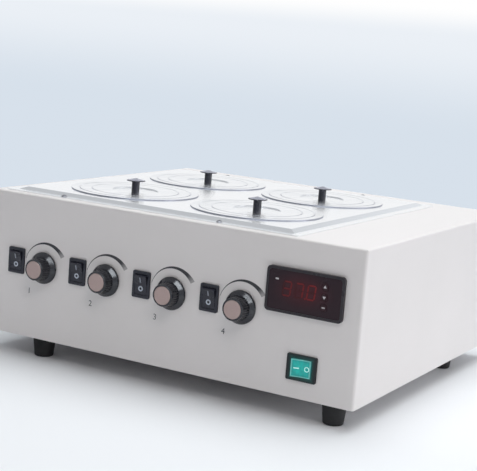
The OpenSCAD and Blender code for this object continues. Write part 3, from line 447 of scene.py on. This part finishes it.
# Tank, shelf, heater and probe
# A drawn stainless tank with a fine vertical grain hangs in the deck. A punched shelf stands over the heater, a
# bent tube that heat has turned straw in patches. The probe beside it is plain ground steel.
tank_steel = grained_material(
    "tank_steel", (0.66, 0.66, 0.67), (0.58, 0.58, 0.60), roughness=0.34, swing=0.07, bump=0.05,
    fine=1400, patch=8, stretch=(1, 1, 0.03), metallic=0.7,
)
shelf_steel = grained_material(
    "shelf_steel", (0.70, 0.70, 0.71), (0.62, 0.62, 0.64), roughness=0.30, swing=0.06, bump=0.05,
    fine=1400, patch=10, stretch=(0.03, 1, 1), metallic=0.7,
)
heater_steel = grained_material(
    "heater_steel", (0.46, 0.44, 0.41), (0.40, 0.33, 0.25), roughness=0.38, swing=0.10, bump=0.12,
    fine=900, patch=30, metallic=1.0,
)
probe_steel = grained_material(
    "probe_steel", (0.68, 0.68, 0.69), (0.60, 0.60, 0.62), roughness=0.26, swing=0.05, bump=0.05,
    fine=2000, patch=60, stretch=(0.05, 1, 1), metallic=1.0,
)
dress("water_tank", tank_steel)
dress("vessel_shelf", shelf_steel)
dress("heater_tube", heater_steel)
dress("temperature_probe", probe_steel)


# Stirrers
# Four small motors hang under a zinc-plated bridge across the casing.
# Each turns a moulded disc with two magnets on its shaft, close under the tank.
zinc = grained_material(
    "zinc_plating", (0.55, 0.56, 0.58), (0.44, 0.46, 0.50), roughness=0.42, swing=0.10, bump=0.06,
    fine=500, patch=40, metallic=1.0,
)
motor_can = grained_material(
    "motor_can", (0.50, 0.50, 0.51), (0.42, 0.42, 0.44), roughness=0.33, swing=0.08, bump=0.05,
    fine=1500, patch=30, stretch=(1, 1, 0.05), metallic=1.0,
)
rotor_disc = grained_material(
    "rotor_disc", (0.03, 0.03, 0.034), (0.05, 0.05, 0.055), roughness=0.45, swing=0.08, bump=0.15,
    fine=1500, patch=60,
)
dress("motor_plate", zinc)
dress("stir_motors", motor_can, edge=0.0006)
for station in range(1, 5):
    dress(f"magnet_rotor_{station}", rotor_disc)


# Cover plate
# One pressed stainless sheet with a long brushed grain. A flat rim lies on the deck, and a slope lifts the panel.
# Fingers and water have left it slightly uneven in gloss.
plate_steel = grained_material(
    "plate_steel", (0.93, 0.935, 0.945), (0.90, 0.905, 0.92), roughness=0.19, swing=0.03, bump=0.006,
    fine=1600, patch=7, stretch=(0.02, 1, 1), metallic=1.0,
)
dress("cover_plate", plate_steel, edge=0.00035, angle=16)


# Rings, lids and their knobs
# Two spun stainless rings nest in each hole, and a spun lid closes them, all flush. Rims are rolled, pockets are bent
# down, and the turning marks run round. Their outer walls are painted a darker grey, as shade in the gaps.
# A black moulded knob with a conical top is screwed to each lid.
def spun_group():
    """Turning marks round an axis, and a slow change in gloss on the way round it."""
    group, given, result = new_group(
        "spun_marks", {"Vector": "Vector", "Scale": "Float"}, {"Marks": "Float", "Sweep": "Float"}
    )
    flat = calculate_vector(group, "MULTIPLY", given["Vector"], (1, 1, 0))["Vector"]
    radius = calculate_vector(group, "LENGTH", flat)["Value"]
    around = calculate_vector(group, "NORMALIZE", flat)["Vector"]
    marks = place_node(
        group, "ShaderNodeTexNoise", noise_dimensions="1D", w=radius, scale=given["Scale"], detail=4.0, roughness=0.6
    )
    sweep = place_node(group, "ShaderNodeTexNoise", around, scale=2.2, detail=3.0)
    give(group, result["Marks"], marks.outputs["Fac"])
    give(group, result["Sweep"], sweep.outputs["Fac"])
    return group


spun = spun_group()
spun_depth, spun_smoother, spun_rougher = 0.0003, 0.05, 0.06


def spun_material(name, color, dark, roughness, centre, scale, bump, turn=(0, 0, 0)):
    """Bright metal turned round a centre, with its axis on Z before the turn."""
    material = new_material(name, color, roughness, metallic=1.0)
    tree, shader = nodes_of(material)
    centred = place_node(
        tree, "ShaderNodeMapping", object_place(tree), vector_type="TEXTURE", location=centre, rotation=turn
    )
    texture = place_node(
        tree, "ShaderNodeGroup", node_tree=spun, vector=centred.outputs["Vector"], scale=scale
    ).outputs
    relief = place_node(tree, "ShaderNodeBump", strength=bump, distance=spun_depth, height=texture["Marks"])
    gloss = remap(tree, texture["Sweep"], noise_low, noise_high, roughness - spun_smoother, roughness + spun_rougher)
    feed(
        tree, shader, base_color=ramp(tree, texture["Marks"], ((noise_low, dark), (noise_high, color))),
        roughness=gloss, normal=relief.outputs["Normal"],
    )
    return material


def bend(centre, size, start, stop, steps=5):
    """Points of a profile along an arc round a centre, between two angles in degrees."""
    turns = [math.radians(start + (stop - start) * step / steps) for step in range(steps + 1)]
    return [(centre[0] + size * math.cos(turn), centre[1] + size * math.sin(turn)) for turn in turns]


def use_material(shape, index):
    for face in shape.faces:
        face.material_index = index


def move_into(target, shape, place):
    """Adds a mesh to another one, at a place, and lets it go."""
    copy_into(target, shape, place)
    shape.free()


lid_knob_black = grained_material(
    "lid_knob_black", (0.024, 0.024, 0.036), (0.034, 0.034, 0.048), roughness=0.26, swing=0.05, bump=0.05,
    fine=1800, patch=80,
)
# Painted sheen: the conical top of each black lid knob is a shiny blue-grey instead of black.
knob_top_sheen = grained_material(
    "knob_top_sheen", (0.50, 0.50, 0.57), (0.44, 0.44, 0.51), roughness=0.26, swing=0.05, bump=0.05,
    fine=1800, patch=120, metallic=0.7,
)
# Painted shade: the outer walls of the rings and lids are a darker grey, for the shade in the thin gaps between them.
painted_shade_wall = grained_material(
    "painted_shade_wall", (0.48, 0.49, 0.55), (0.41, 0.42, 0.48), roughness=0.50, swing=0.08, bump=0.1,
    fine=2500, patch=200, metallic=1.0,
)
pocket_wall = grained_material(
    "pocket_wall", (0.90, 0.905, 0.92), (0.83, 0.835, 0.85), roughness=0.60, swing=0.06, bump=0.05,
    fine=2500, patch=200, metallic=0.3,
)
nut_steel = grained_material(
    "nut_steel", (0.64, 0.64, 0.65), (0.55, 0.55, 0.57), roughness=0.32, swing=0.08, bump=0.1,
    fine=2500, patch=200, metallic=1.0,
)
station_places = [(-0.107, -0.089), (0.043, -0.089), (-0.107, 0.065), (0.043, 0.065)]
panel_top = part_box("cover_plate")[1][2]
sheet, pocket_bend, broken_edge = 0.001, 0.0007, 0.00025
steep, upright_wall = 0.75, 0.3
ring_sizes = {
    "outer_ring": (0.0487, 0.0601, 0.0685, 0.0003),
    "inner_ring": (0.0261, 0.0471, 0.0595, 0.0005),
    "lid": (0.0021, 0.0245, 0.0465, 0.0005),
}
for station, (x, y) in enumerate(station_places, 1):
    lid_steel = spun_material(
        f"spun_steel_{station}", (0.93, 0.935, 0.945), (0.88, 0.885, 0.90), 0.21, (x, y, 0), scale=1400, bump=0.008
    )
    for part, (hole, pocket, outside, roll) in ring_sizes.items():
        rim = bend((outside - roll, sheet - roll), roll, 0, 90)
        shoulder = bend((pocket + pocket_bend, sheet - pocket_bend), pocket_bend, 90, 180)
        ring = turned([(hole, -sheet), (pocket + sheet, -sheet), (pocket + sheet, 0), (outside, 0), *rim, *shoulder,
                       (pocket, 0), (hole, 0), (hole, -sheet)], 128)
        round_over(ring, broken_edge)
        bmesh.ops.recalc_face_normals(ring, faces=ring.faces)
        for face in ring.faces:
            outer_wall = face.calc_center_median().xy.length > pocket + sheet / 2
            # Outer walls take the painted shade, and pocket walls take a rougher steel.
            if abs(face.normal.z) < (steep if outer_wall else upright_wall):
                face.material_index = 1 if outer_wall else 2
        bmesh.ops.translate(ring, vec=(x, y, panel_top), verts=ring.verts)
        add_piece(f"{part}_{station}_spun", ring, [lid_steel, painted_shade_wall, pocket_wall], f"{part}_{station}",
                  [f"{part}_{station}"])
    knob = turned([(0, 0), (0.00425, 0), (0.00425, 0.0095), (0.0045, 0.0104), (0.0051, 0.0109), (0.0058, 0.0110),
                   (0.0100, 0.0110), (0.0100, 0.0118), (0.0090, 0.01194)])
    round_over(knob, broken_edge, 25)
    crown = turned([(0.0090, 0.01194), (0.0086, 0.01212), (0.0050, 0.01295), (0.0020, 0.01375), (0, 0.0142)])
    stud = turned([(0, -0.0002), (0.002, -0.0002), (0.002, -0.0049), (0.0017, -0.0052), (0, -0.0052)], 24)
    nut = bmesh.new()
    bmesh.ops.create_cone(nut, cap_ends=True, segments=6, radius1=0.004, radius2=0.004, depth=0.0032)
    round_over(nut, 0.0002, 50, 2)
    bmesh.ops.translate(nut, vec=(0, 0, -0.0026), verts=nut.verts)
    for shape, index in ((crown, 2), (stud, 1), (nut, 1)):
        use_material(shape, index)
        move_into(knob, shape, Matrix.Identity(4))
    bmesh.ops.translate(knob, vec=(x, y, panel_top), verts=knob.verts)
    add_piece(f"lid_knob_{station}_moulding", knob, [lid_knob_black, nut_steel, knob_top_sheen], f"lid_{station}",
              [f"lid_knob_{station}"])


# Rocker switches
# Black snap-in housings with a smooth rocker in each. A grey bar and a paler ring are printed on its two faces.
# The power switch lies on its side. Its clear green rocker is lit from within. Its green light on the frame round it is
# painted.
front_y = -0.195


def on_front(x, z):
    """Frame on the front panel: X to the right, Y up, Z out of the panel."""
    return Matrix.Translation((x, front_y, z)) @ Matrix.Rotation(math.radians(90), 4, "X")


def raised(shape, height):
    """Gives flat faces a thickness."""
    faces = list(shape.faces)
    top = bmesh.ops.extrude_face_region(shape, geom=faces)["geom"]
    bmesh.ops.translate(shape, vec=(0, 0, height), verts=[v for v in top if isinstance(v, bmesh.types.BMVert)])


def soften_corners(shape, size, steps):
    bmesh.ops.bevel(shape, geom=shape.verts, offset=size, segments=steps, profile=0.5, affect="VERTICES", material=-1)


def bar_mark(width, height, corner, steps, thickness):
    """A thin printed bar with softened corners."""
    bar = bmesh.new()
    bmesh.ops.create_grid(bar, x_segments=1, y_segments=1, size=0.5)
    bmesh.ops.scale(bar, vec=(width, height, 1), verts=bar.verts)
    soften_corners(bar, corner, steps)
    raised(bar, thickness)
    return bar


def reach_group():
    """How far a point lies from a middle, with 1 at the edges of an upright box round it."""
    group, given, result = new_group("square_reach", {"Middle": "Vector", "Half Size": "Vector"}, {"Reach": "Float"})
    centred = calculate_vector(group, "SUBTRACT", object_place(group), given["Middle"])["Vector"]
    sized = calculate_vector(group, "DIVIDE", centred, given["Half Size"])["Vector"]
    sides = sides_of(group, calculate_vector(group, "ABSOLUTE", sized)["Vector"])
    give(group, result["Reach"], calculate(group, "MAXIMUM", sides["X"], sides["Z"]))
    return group


square_reach = reach_group()
green_low, green_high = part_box("power_rocker")


def green_reach(tree):
    """How far a point lies from the middle of the power rocker, with 1 at the rocker's edges."""
    middle = [(a + b) / 2 for a, b in zip(green_low, green_high)]
    half_size = [(b - a) / 2 for a, b in zip(green_low, green_high)]
    reach = place_node(tree, "ShaderNodeGroup", node_tree=square_reach, middle=middle, half_size=half_size)
    return reach.outputs["Reach"]


def mixed(tree, share, first, second):
    """Mixes two colours by a share from 0 to 1."""
    mix = place_node(tree, "ShaderNodeMix", data_type="RGBA")
    sockets = {socket.identifier: socket for socket in (*mix.inputs, *mix.outputs)}
    for name, source in (("Factor_Float", share), ("A_Color", first), ("B_Color", second)):
        give(tree, sockets[name], source)
    return sockets["Result_Color"]


def mark_ink(name, color, patch_color, roughness=0.5, **finish):
    return grained_material(
        name, color, patch_color, roughness, swing=0.05, bump=0.05, fine=2500, patch=400, **finish
    )


housing_black = grained_material(
    "housing_black", (0.019, 0.020, 0.031), (0.025, 0.026, 0.038), roughness=0.36, swing=0.05, bump=0.12,
    fine=2600, patch=70, specular=0.38,
)
housing_tree, housing_shader = nodes_of(housing_black)
housing_reach = green_reach(housing_tree)
# Painted glow: round the power rocker the black housing turns teal, for the green light that the rocker throws on it.
rim_inner, rim_outer, spill_full, spill_gone = 1.0, 1.45, 1.6, 1.8
painted_green_spill = ramp(housing_tree, remap(housing_tree, housing_reach, rim_inner, rim_outer), (
    (0.0, (0.004, 0.060, 0.055)), (0.40, (0.004, 0.024, 0.024)), (0.75, (0.007, 0.008, 0.011)),
))
green_spill_share = remap(housing_tree, housing_reach, spill_full, spill_gone, 1.0, 0.0)
plain_black = housing_shader.inputs["Base Color"].links[0].from_socket
feed(housing_tree, housing_shader, base_color=mixed(housing_tree, green_spill_share, plain_black, painted_green_spill))
rocker_black = grained_material(
    "rocker_black", (0.014, 0.015, 0.026), (0.019, 0.020, 0.032), roughness=0.28, swing=0.05, bump=0.06,
    fine=2600, patch=70, specular=0.42,
)
rocker_green = new_material("rocker_green", (0.05, 0.55, 0.47), 0.18, specular=0.3, glow_strength=0.25)
green_tree, green_shader = nodes_of(rocker_green)
# Painted shade and highlight: the rocker darkens towards its edges, with a pale line painted round its face.
green_painted_shading = ramp(green_tree, green_reach(green_tree), (
    (0.0, (0.012, 0.50, 0.44)), (0.55, (0.008, 0.42, 0.38)), (0.74, (0.006, 0.30, 0.28)),
    (0.83, (0.21, 0.64, 0.59)), (0.90, (0.006, 0.17, 0.16)), (1.0, (0.003, 0.06, 0.058)),
))
green_cloud = place_node(green_tree, "ShaderNodeTexNoise", object_place(green_tree), scale=260, detail=2.0)
cloud_most = 0.34
cloud_share = remap(green_tree, green_cloud.outputs["Fac"], noise_low, noise_high, 0.0, cloud_most)
clouded_green = mixed(green_tree, cloud_share, green_painted_shading, (0.003, 0.085, 0.08, 1))
feed(green_tree, green_shader, base_color=clouded_green, emission_color=clouded_green, coat_weight=0.2)
mark_grey = mark_ink("mark_grey", (0.34, 0.36, 0.42), (0.27, 0.29, 0.35))
mark_pale = mark_ink("mark_pale", (0.55, 0.59, 0.67), (0.46, 0.50, 0.58))
mark_mint = mark_ink(
    "mark_mint", (0.58, 0.93, 0.87), (0.47, 0.84, 0.78), 0.4, glow=(0.50, 0.95, 0.86), glow_strength=0.25
)
dress("switch_housings", housing_black, edge=0.0004)
dress("power_rocker", rocker_green, edge=0.0005)
rocker_tilt = math.radians(10)
rocker_middle, rocker_end = 0.0022, 0.0036
rocker_ink, sunk = 0.00006, 0.00001


def rocker_marks(name, body, place, reach, bar_at, ring_at, ring_in, ring_out, inks):
    """The bar and the ring on a rocker whose ends are reach metres from its pivot."""
    slope = math.atan((rocker_end - rocker_middle) / reach)
    bar = bar_mark(width=0.0011, height=0.0054, corner=0.0004, steps=3, thickness=rocker_ink)
    ring = turned([(ring_in, 0), (ring_out, 0)], 40)
    raised(ring, rocker_ink)
    use_material(ring, 1)
    shape = bmesh.new()
    for mark, at in ((bar, bar_at), (ring, ring_at)):
        height = rocker_middle + (rocker_end - rocker_middle) * abs(at)
        seat = (
            Matrix.Rotation(rocker_tilt, 4, "X")
            @ Matrix.Translation((0, at * reach, height - sunk))
            @ Matrix.Rotation(math.copysign(slope, at), 4, "X")
        )
        move_into(shape, mark, place @ seat)
    add_piece(name, shape, inks, body)


switch_places = [(-0.1782 + 0.078 * k, 0.101) for k in range(4)]
for station, (x, z) in enumerate(switch_places, 1):
    dress(f"stir_rocker_{station}", rocker_black, edge=0.0004)
    rocker_marks(f"stir_rocker_{station}_marks", f"stir_rocker_{station}", on_front(x, z), reach=0.0102, bar_at=0.52,
                 ring_at=-0.36, ring_in=0.0014, ring_out=0.0027, inks=[mark_grey, mark_pale])
power_place = on_front(0.160, 0.052) @ Matrix.Rotation(math.radians(90), 4, "Z")
rocker_marks("power_rocker_marks", "power_rocker", power_place, reach=0.0108, bar_at=0.45, ring_at=-0.5,
             ring_in=0.0017, ring_out=0.0025, inks=[mark_mint, mark_mint])


# Speed controls
# A skirted black knob with a fluted grip sits on each spindle, and a spun metal disc is set in its nose. Printed on
# the panel over it is a band that grows from a hairline to full speed. Plain numbers mark the stations.
knob_black = grained_material(
    "knob_black", (0.013, 0.014, 0.020), (0.018, 0.019, 0.026), roughness=0.19, swing=0.04, bump=0.04,
    fine=2200, patch=60, specular=0.65,
)
spindle_steel = grained_material(
    "spindle_steel", (0.66, 0.66, 0.67), (0.58, 0.58, 0.60), roughness=0.30, swing=0.06, bump=0.05,
    fine=2500, patch=90, metallic=1.0,
)
ink_color, worn_ink, ink_roughness = (0.035, 0.035, 0.040), (0.42, 0.40, 0.40), 0.55
panel_ink = grained_material(
    "panel_ink", ink_color, (0.055, 0.055, 0.062), ink_roughness, swing=0.08, bump=0.08, fine=2500, patch=160
)
dress("potentiometers", zinc)
knob_places = [(x + 0.035, 0.098) for x, z in switch_places]
band_in, band_start, band_end = 0.0245, math.radians(164), math.radians(32)
band_thin, band_growth, band_swell, band_blank = 0.0004, 0.0046, 1.6, 0.001
fade_start, fade_stop, fade_speckle = math.radians(2), math.radians(24), 0.12
number_h, number_left, number_down = 0.0085, 0.0175, 0.027
ink_height = 0.00005


def faded_ink(station, centre):
    """Panel ink that thins out towards the wide end of a band round a centre."""
    ink = new_material(f"band_ink_{station}", ink_color, ink_roughness)
    tree, shader = nodes_of(ink)
    place = object_place(tree)
    centred = place_node(tree, "ShaderNodeMapping", place, vector_type="TEXTURE", location=centre)
    sides = sides_of(tree, centred.outputs["Vector"])
    turn = calculate(tree, "ARCTAN2", sides["Z"], sides["X"])
    speckle = place_node(tree, "ShaderNodeTexNoise", place, scale=900, detail=2.0)
    spread = calculate(tree, "MULTIPLY_ADD", speckle.outputs["Fac"], fade_speckle, turn)
    thinning = remap(tree, spread, band_end + fade_start, band_end + fade_stop, interpolation="SMOOTHSTEP")
    feed(tree, shader, base_color=ramp(tree, thinning, ((0.0, worn_ink), (1.0, ink_color))))
    return ink


def speed_band():
    """A band that grows wider along an arc, flat on the panel."""
    band = bmesh.new()
    radii = (band_in, band_in + band_blank)
    ends = [band.verts.new((r * math.cos(band_start), r * math.sin(band_start), 0)) for r in radii]
    bmesh.ops.spin(band, geom=ends + [band.edges.new(ends)], cent=(0, 0, 0), axis=(0, 0, 1), dvec=(0, 0, 0),
                   angle=band_end - band_start, steps=72)
    for point in band.verts:
        if point.co.length > band_in + band_blank / 2:
            along = max(0, (band_start - math.atan2(point.co.y, point.co.x)) / (band_start - band_end))
            point.co *= (band_in + band_thin + band_growth * along ** band_swell) / point.co.length
    raised(band, ink_height)
    return band


def printed_number(station):
    """The figure of a station, drawn in the plain built-in letters."""
    curve = bpy.data.curves.new(f"station_number_{station}", "FONT")
    curve.body = str(station)
    curve.size = number_h
    curve.align_x = "CENTER"
    curve.align_y = "CENTER"
    text = bpy.data.objects.new("number_text", curve)
    scene.collection.objects.link(text)
    bpy.context.view_layer.update()
    data = bpy.data.meshes.new_from_object(text)
    bpy.data.objects.remove(text)
    bpy.data.curves.remove(curve)
    number = bmesh.new()
    number.from_mesh(data)
    bpy.data.meshes.remove(data)
    bmesh.ops.beautify_fill(number, faces=number.faces, edges=number.edges)
    raised(number, ink_height)
    return number


for station, (x, z) in enumerate(knob_places, 1):
    cap_steel = spun_material(
        f"cap_disc_{station}", (0.47, 0.355, 0.33), (0.39, 0.295, 0.275), 0.36, (x, front_y, z), scale=2500, bump=0.10,
        turn=(math.radians(90), 0, 0),
    )
    dress(f"speed_knob_{station}", knob_black)
    dress(f"knob_cap_{station}", cap_steel)
    dress(f"pot_spindle_{station}", spindle_steel)
    band = speed_band()
    bmesh.ops.transform(band, matrix=on_front(x, z), verts=band.verts)
    add_piece(f"speed_band_{station}", band, [faded_ink(station, (x, front_y, z))], "bath")
    number = printed_number(station)
    bmesh.ops.transform(number, matrix=on_front(x - number_left, z - number_down), verts=number.verts)
    add_piece(f"station_number_{station}", number, [panel_ink], "bath")


# Temperature controller
# A black bezel clips into the panel. One dark red acrylic window covers its front, with a row of red digits behind
# it on the left and three round keys on the right, marked up, down and set.
controller_x, controller_z = 0.157, 0.1225
bezel_black = grained_material(
    "bezel_black", (0.020, 0.016, 0.021), (0.025, 0.020, 0.026), roughness=0.30, swing=0.05, bump=0.10,
    fine=2600, patch=60, specular=0.40,
)
window_red = grained_material(
    "window_red", (0.011, 0.006, 0.010), (0.016, 0.007, 0.011), roughness=0.26, swing=0.03, bump=0.01,
    fine=800, patch=25, specular=0.26, glow_strength=1.0,
)
window_tree, window_shader = nodes_of(window_red)
# Painted glow: the window itself gives a dim red light, strongest round the middle of the digit row and fading
# outwards.
glow_left, glow_up, glow_w, glow_h = 0.001, 0.002, 0.036, 0.021
glow_place = place_node(
    window_tree, "ShaderNodeMapping", object_place(window_tree), vector_type="TEXTURE",
    location=(controller_x - glow_left, front_y, controller_z + glow_up), scale=(glow_w, 1, glow_h),
)
glow_reach = calculate_vector(window_tree, "LENGTH", glow_place.outputs["Vector"])["Value"]
feed(window_tree, window_shader, emission_color=ramp(
    window_tree, glow_reach, ((0.0, (0.032, 0.0012, 0.0024)), (1.0, (0.0055, 0.0010, 0.0022))), "EASE"
))
display_red = grained_material(
    "display_red", (0.06, 0.01, 0.01), (0.04, 0.008, 0.008), roughness=0.3, swing=0.05, bump=0.05,
    fine=1500, patch=60,
)
# Painted glow: the keys give a faint red light, though they hold no lamp.
key_black = grained_material(
    "key_black", (0.014, 0.008, 0.011), (0.019, 0.010, 0.013), roughness=0.30, swing=0.05, bump=0.05,
    fine=2600, patch=90, specular=0.26, glow=(0.009, 0.0008, 0.002), glow_strength=1.0,
)
# Painted glow: the unlit segments give a faint red light as well.
unlit_digit_glow = grained_material(
    "unlit_digit_glow", (0.026, 0.006, 0.008), (0.021, 0.005, 0.007), roughness=0.30, swing=0.04, bump=0.02,
    fine=1500, patch=300, specular=0.2, glow=(0.05, 0.003, 0.004), glow_strength=0.35,
)
digit_lit = grained_material(
    "digit_lit", (0.07, 0.008, 0.009), (0.055, 0.007, 0.008), roughness=0.30, swing=0.04, bump=0.02,
    fine=1500, patch=300, specular=0.2, glow_strength=1.0,
)
lit_tree, lit_shader = nodes_of(digit_lit)
dim_end, bright_end = controller_x - 0.024, controller_x + 0.013
lit_along = remap(lit_tree, sides_of(lit_tree, object_place(lit_tree))["X"], dim_end, bright_end)
feed(lit_tree, lit_shader, emission_color=ramp(
    lit_tree, lit_along, ((0.0, (0.036, 0.002, 0.003)), (1.0, (0.076, 0.004, 0.005)))
))
mark_white = mark_ink("mark_white", (0.56, 0.53, 0.55), (0.48, 0.45, 0.47))
dress("controller_case", bezel_black, edge=0.0004)
dress("display_window", window_red, edge=0.0002)
dress("display_module", display_red)
controller_place = on_front(controller_x, controller_z)
window_face, digit_ink = 0.0032, 0.00004
digit_w, digit_h, stroke, stroke_gap, stroke_point = 0.0076, 0.0132, 0.0015, 0.0003, 0.49
digit_start, digit_pitch, digit_middle, digit_lean, digit_slant = -0.0180, 0.0125, 0.0020, 0.0014, 6
lamp_x, lamp_y, point_x, point_r = -0.0290, 0.0098, 0.0010, 0.0009
lit_segments = {"0": "abcdef", "3": "abcdg", "7": "abc"}
segment_places = {
    "a": (0, 0.5, 0), "g": (0, 0, 0), "d": (0, -0.5, 0),
    "f": (-0.5, 0.25, 90), "b": (0.5, 0.25, 90), "e": (-0.5, -0.25, 90), "c": (0.5, -0.25, 90),
}


def on_window(x, y):
    return controller_place @ Matrix.Translation((x, y, window_face))


digits = bmesh.new()
for position, figure in enumerate("370"):
    centre_x = digit_start + digit_pitch * position
    for segment, (across, up, turn) in segment_places.items():
        length = (digit_h / 2 if turn else digit_w) - stroke_gap
        bar = bar_mark(length, stroke, corner=stroke * stroke_point, steps=1, thickness=digit_ink)
        use_material(bar, 0 if segment in lit_segments[figure] else 1)
        place = on_window(centre_x + across * digit_w + up * digit_lean, digit_middle + up * digit_h)
        move_into(digits, bar, place @ Matrix.Rotation(math.radians(turn - (digit_slant if turn else 0)), 4, "Z"))
lamp_mark = bar_mark(width=0.0034, height=0.0016, corner=0.0005, steps=3, thickness=digit_ink)
use_material(lamp_mark, 2)
move_into(digits, lamp_mark, on_window(lamp_x, lamp_y))
point_mark = bmesh.new()
bmesh.ops.create_circle(point_mark, cap_ends=True, segments=16, radius=point_r)
raised(point_mark, digit_ink)
move_into(digits, point_mark, on_window(point_x, digit_middle - digit_h / 2))
bmesh.ops.translate(digits, vec=(0, sunk, 0), verts=digits.verts)
add_piece("display_digits", digits, [digit_lit, unlit_digit_glow, mark_white], "bath")

key_x, key_pitch, key_top, key_corner = 0.0205, 0.0096, 0.0035, 0.0002
for key, row, turn in (("key_up", 1, 90), ("key_down", 0, -90), ("key_set", -1, None)):
    dress(key, key_black, edge=0.0004)
    if turn is None:
        mark = bar_mark(width=0.0032, height=0.0012, corner=key_corner, steps=2, thickness=ink_height)
    else:
        mark = bmesh.new()
        bmesh.ops.create_circle(mark, cap_ends=True, segments=3, radius=0.0019)
        corner = mark.verts[:][0].co
        upright = Matrix.Rotation(math.radians(turn) - math.atan2(corner.y, corner.x), 3, "Z")
        bmesh.ops.rotate(mark, cent=(0, 0, 0), matrix=upright, verts=mark.verts)
        soften_corners(mark, key_corner, 2)
        raised(mark, ink_height)
    key_place = controller_place @ Matrix.Translation((key_x, row * key_pitch, key_top - sunk))
    bmesh.ops.transform(mark, matrix=key_place, verts=mark.verts)
    add_piece(f"{key}_mark", mark, [mark_white], key)


# Electrics and drain at the rear
# A control board stands beside the tank. A black appliance inlet with three plated pins takes the mains, and a
# flanged steel tube drains the tank through the back, closed by a rubber cap.
board_green = grained_material(
    "board_green", (0.03, 0.16, 0.07), (0.025, 0.12, 0.055), roughness=0.40, swing=0.08, bump=0.10,
    fine=1200, patch=60,
)
inlet_black = grained_material(
    "inlet_black", (0.022, 0.022, 0.024), (0.030, 0.030, 0.033), roughness=0.42, swing=0.06, bump=0.12,
    fine=2400, patch=60,
)
pin_plating = grained_material(
    "pin_plating", (0.62, 0.60, 0.55), (0.52, 0.50, 0.45), roughness=0.28, swing=0.06, bump=0.05,
    fine=2500, patch=300, metallic=1.0,
)
cap_rubber = grained_material(
    "cap_rubber", (0.022, 0.022, 0.023), (0.035, 0.034, 0.033), roughness=0.62, swing=0.08, bump=0.22,
    fine=1600, patch=60,
)
dress("control_board", board_green)
dress("mains_inlet", inlet_black, edge=0.0004)
dress("drain_nozzle", probe_steel)
dress("drain_cap", cap_rubber, edge=0.0005, angle=35)
inlet_low, inlet_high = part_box("mains_inlet")
inlet_x, inlet_z = (inlet_low[0] + inlet_high[0]) / 2, (inlet_low[2] + inlet_high[2]) / 2
rear_y, inlet_floor = 0.195, 0.016
pin_w, pin_length, pin_h, pin_pitch, pin_rise, pin_nose = 0.0021, 0.0111, 0.0041, 0.007, 0.002, 0.0005
pins = bmesh.new()
for place in (-1, 0, 1):
    pin = bmesh.new()
    bmesh.ops.create_cube(pin, size=1)
    bmesh.ops.scale(pin, vec=(pin_w, pin_length, pin_h), verts=pin.verts)
    nose_edges = [e for e in pin.edges if all(v.co.y > 0 for v in e.verts)]
    bmesh.ops.bevel(pin, geom=nose_edges, offset=pin_nose, offset_type="OFFSET", segments=3, profile=0.5,
                    affect="EDGES", material=-1)
    move_into(pins, pin, Matrix.Translation((
        inlet_x + pin_pitch * place, rear_y - inlet_floor + pin_length / 2, inlet_z + (-pin_rise if place else pin_rise)
    )))
add_piece("inlet_pin_set", pins, [pin_plating], "bath")
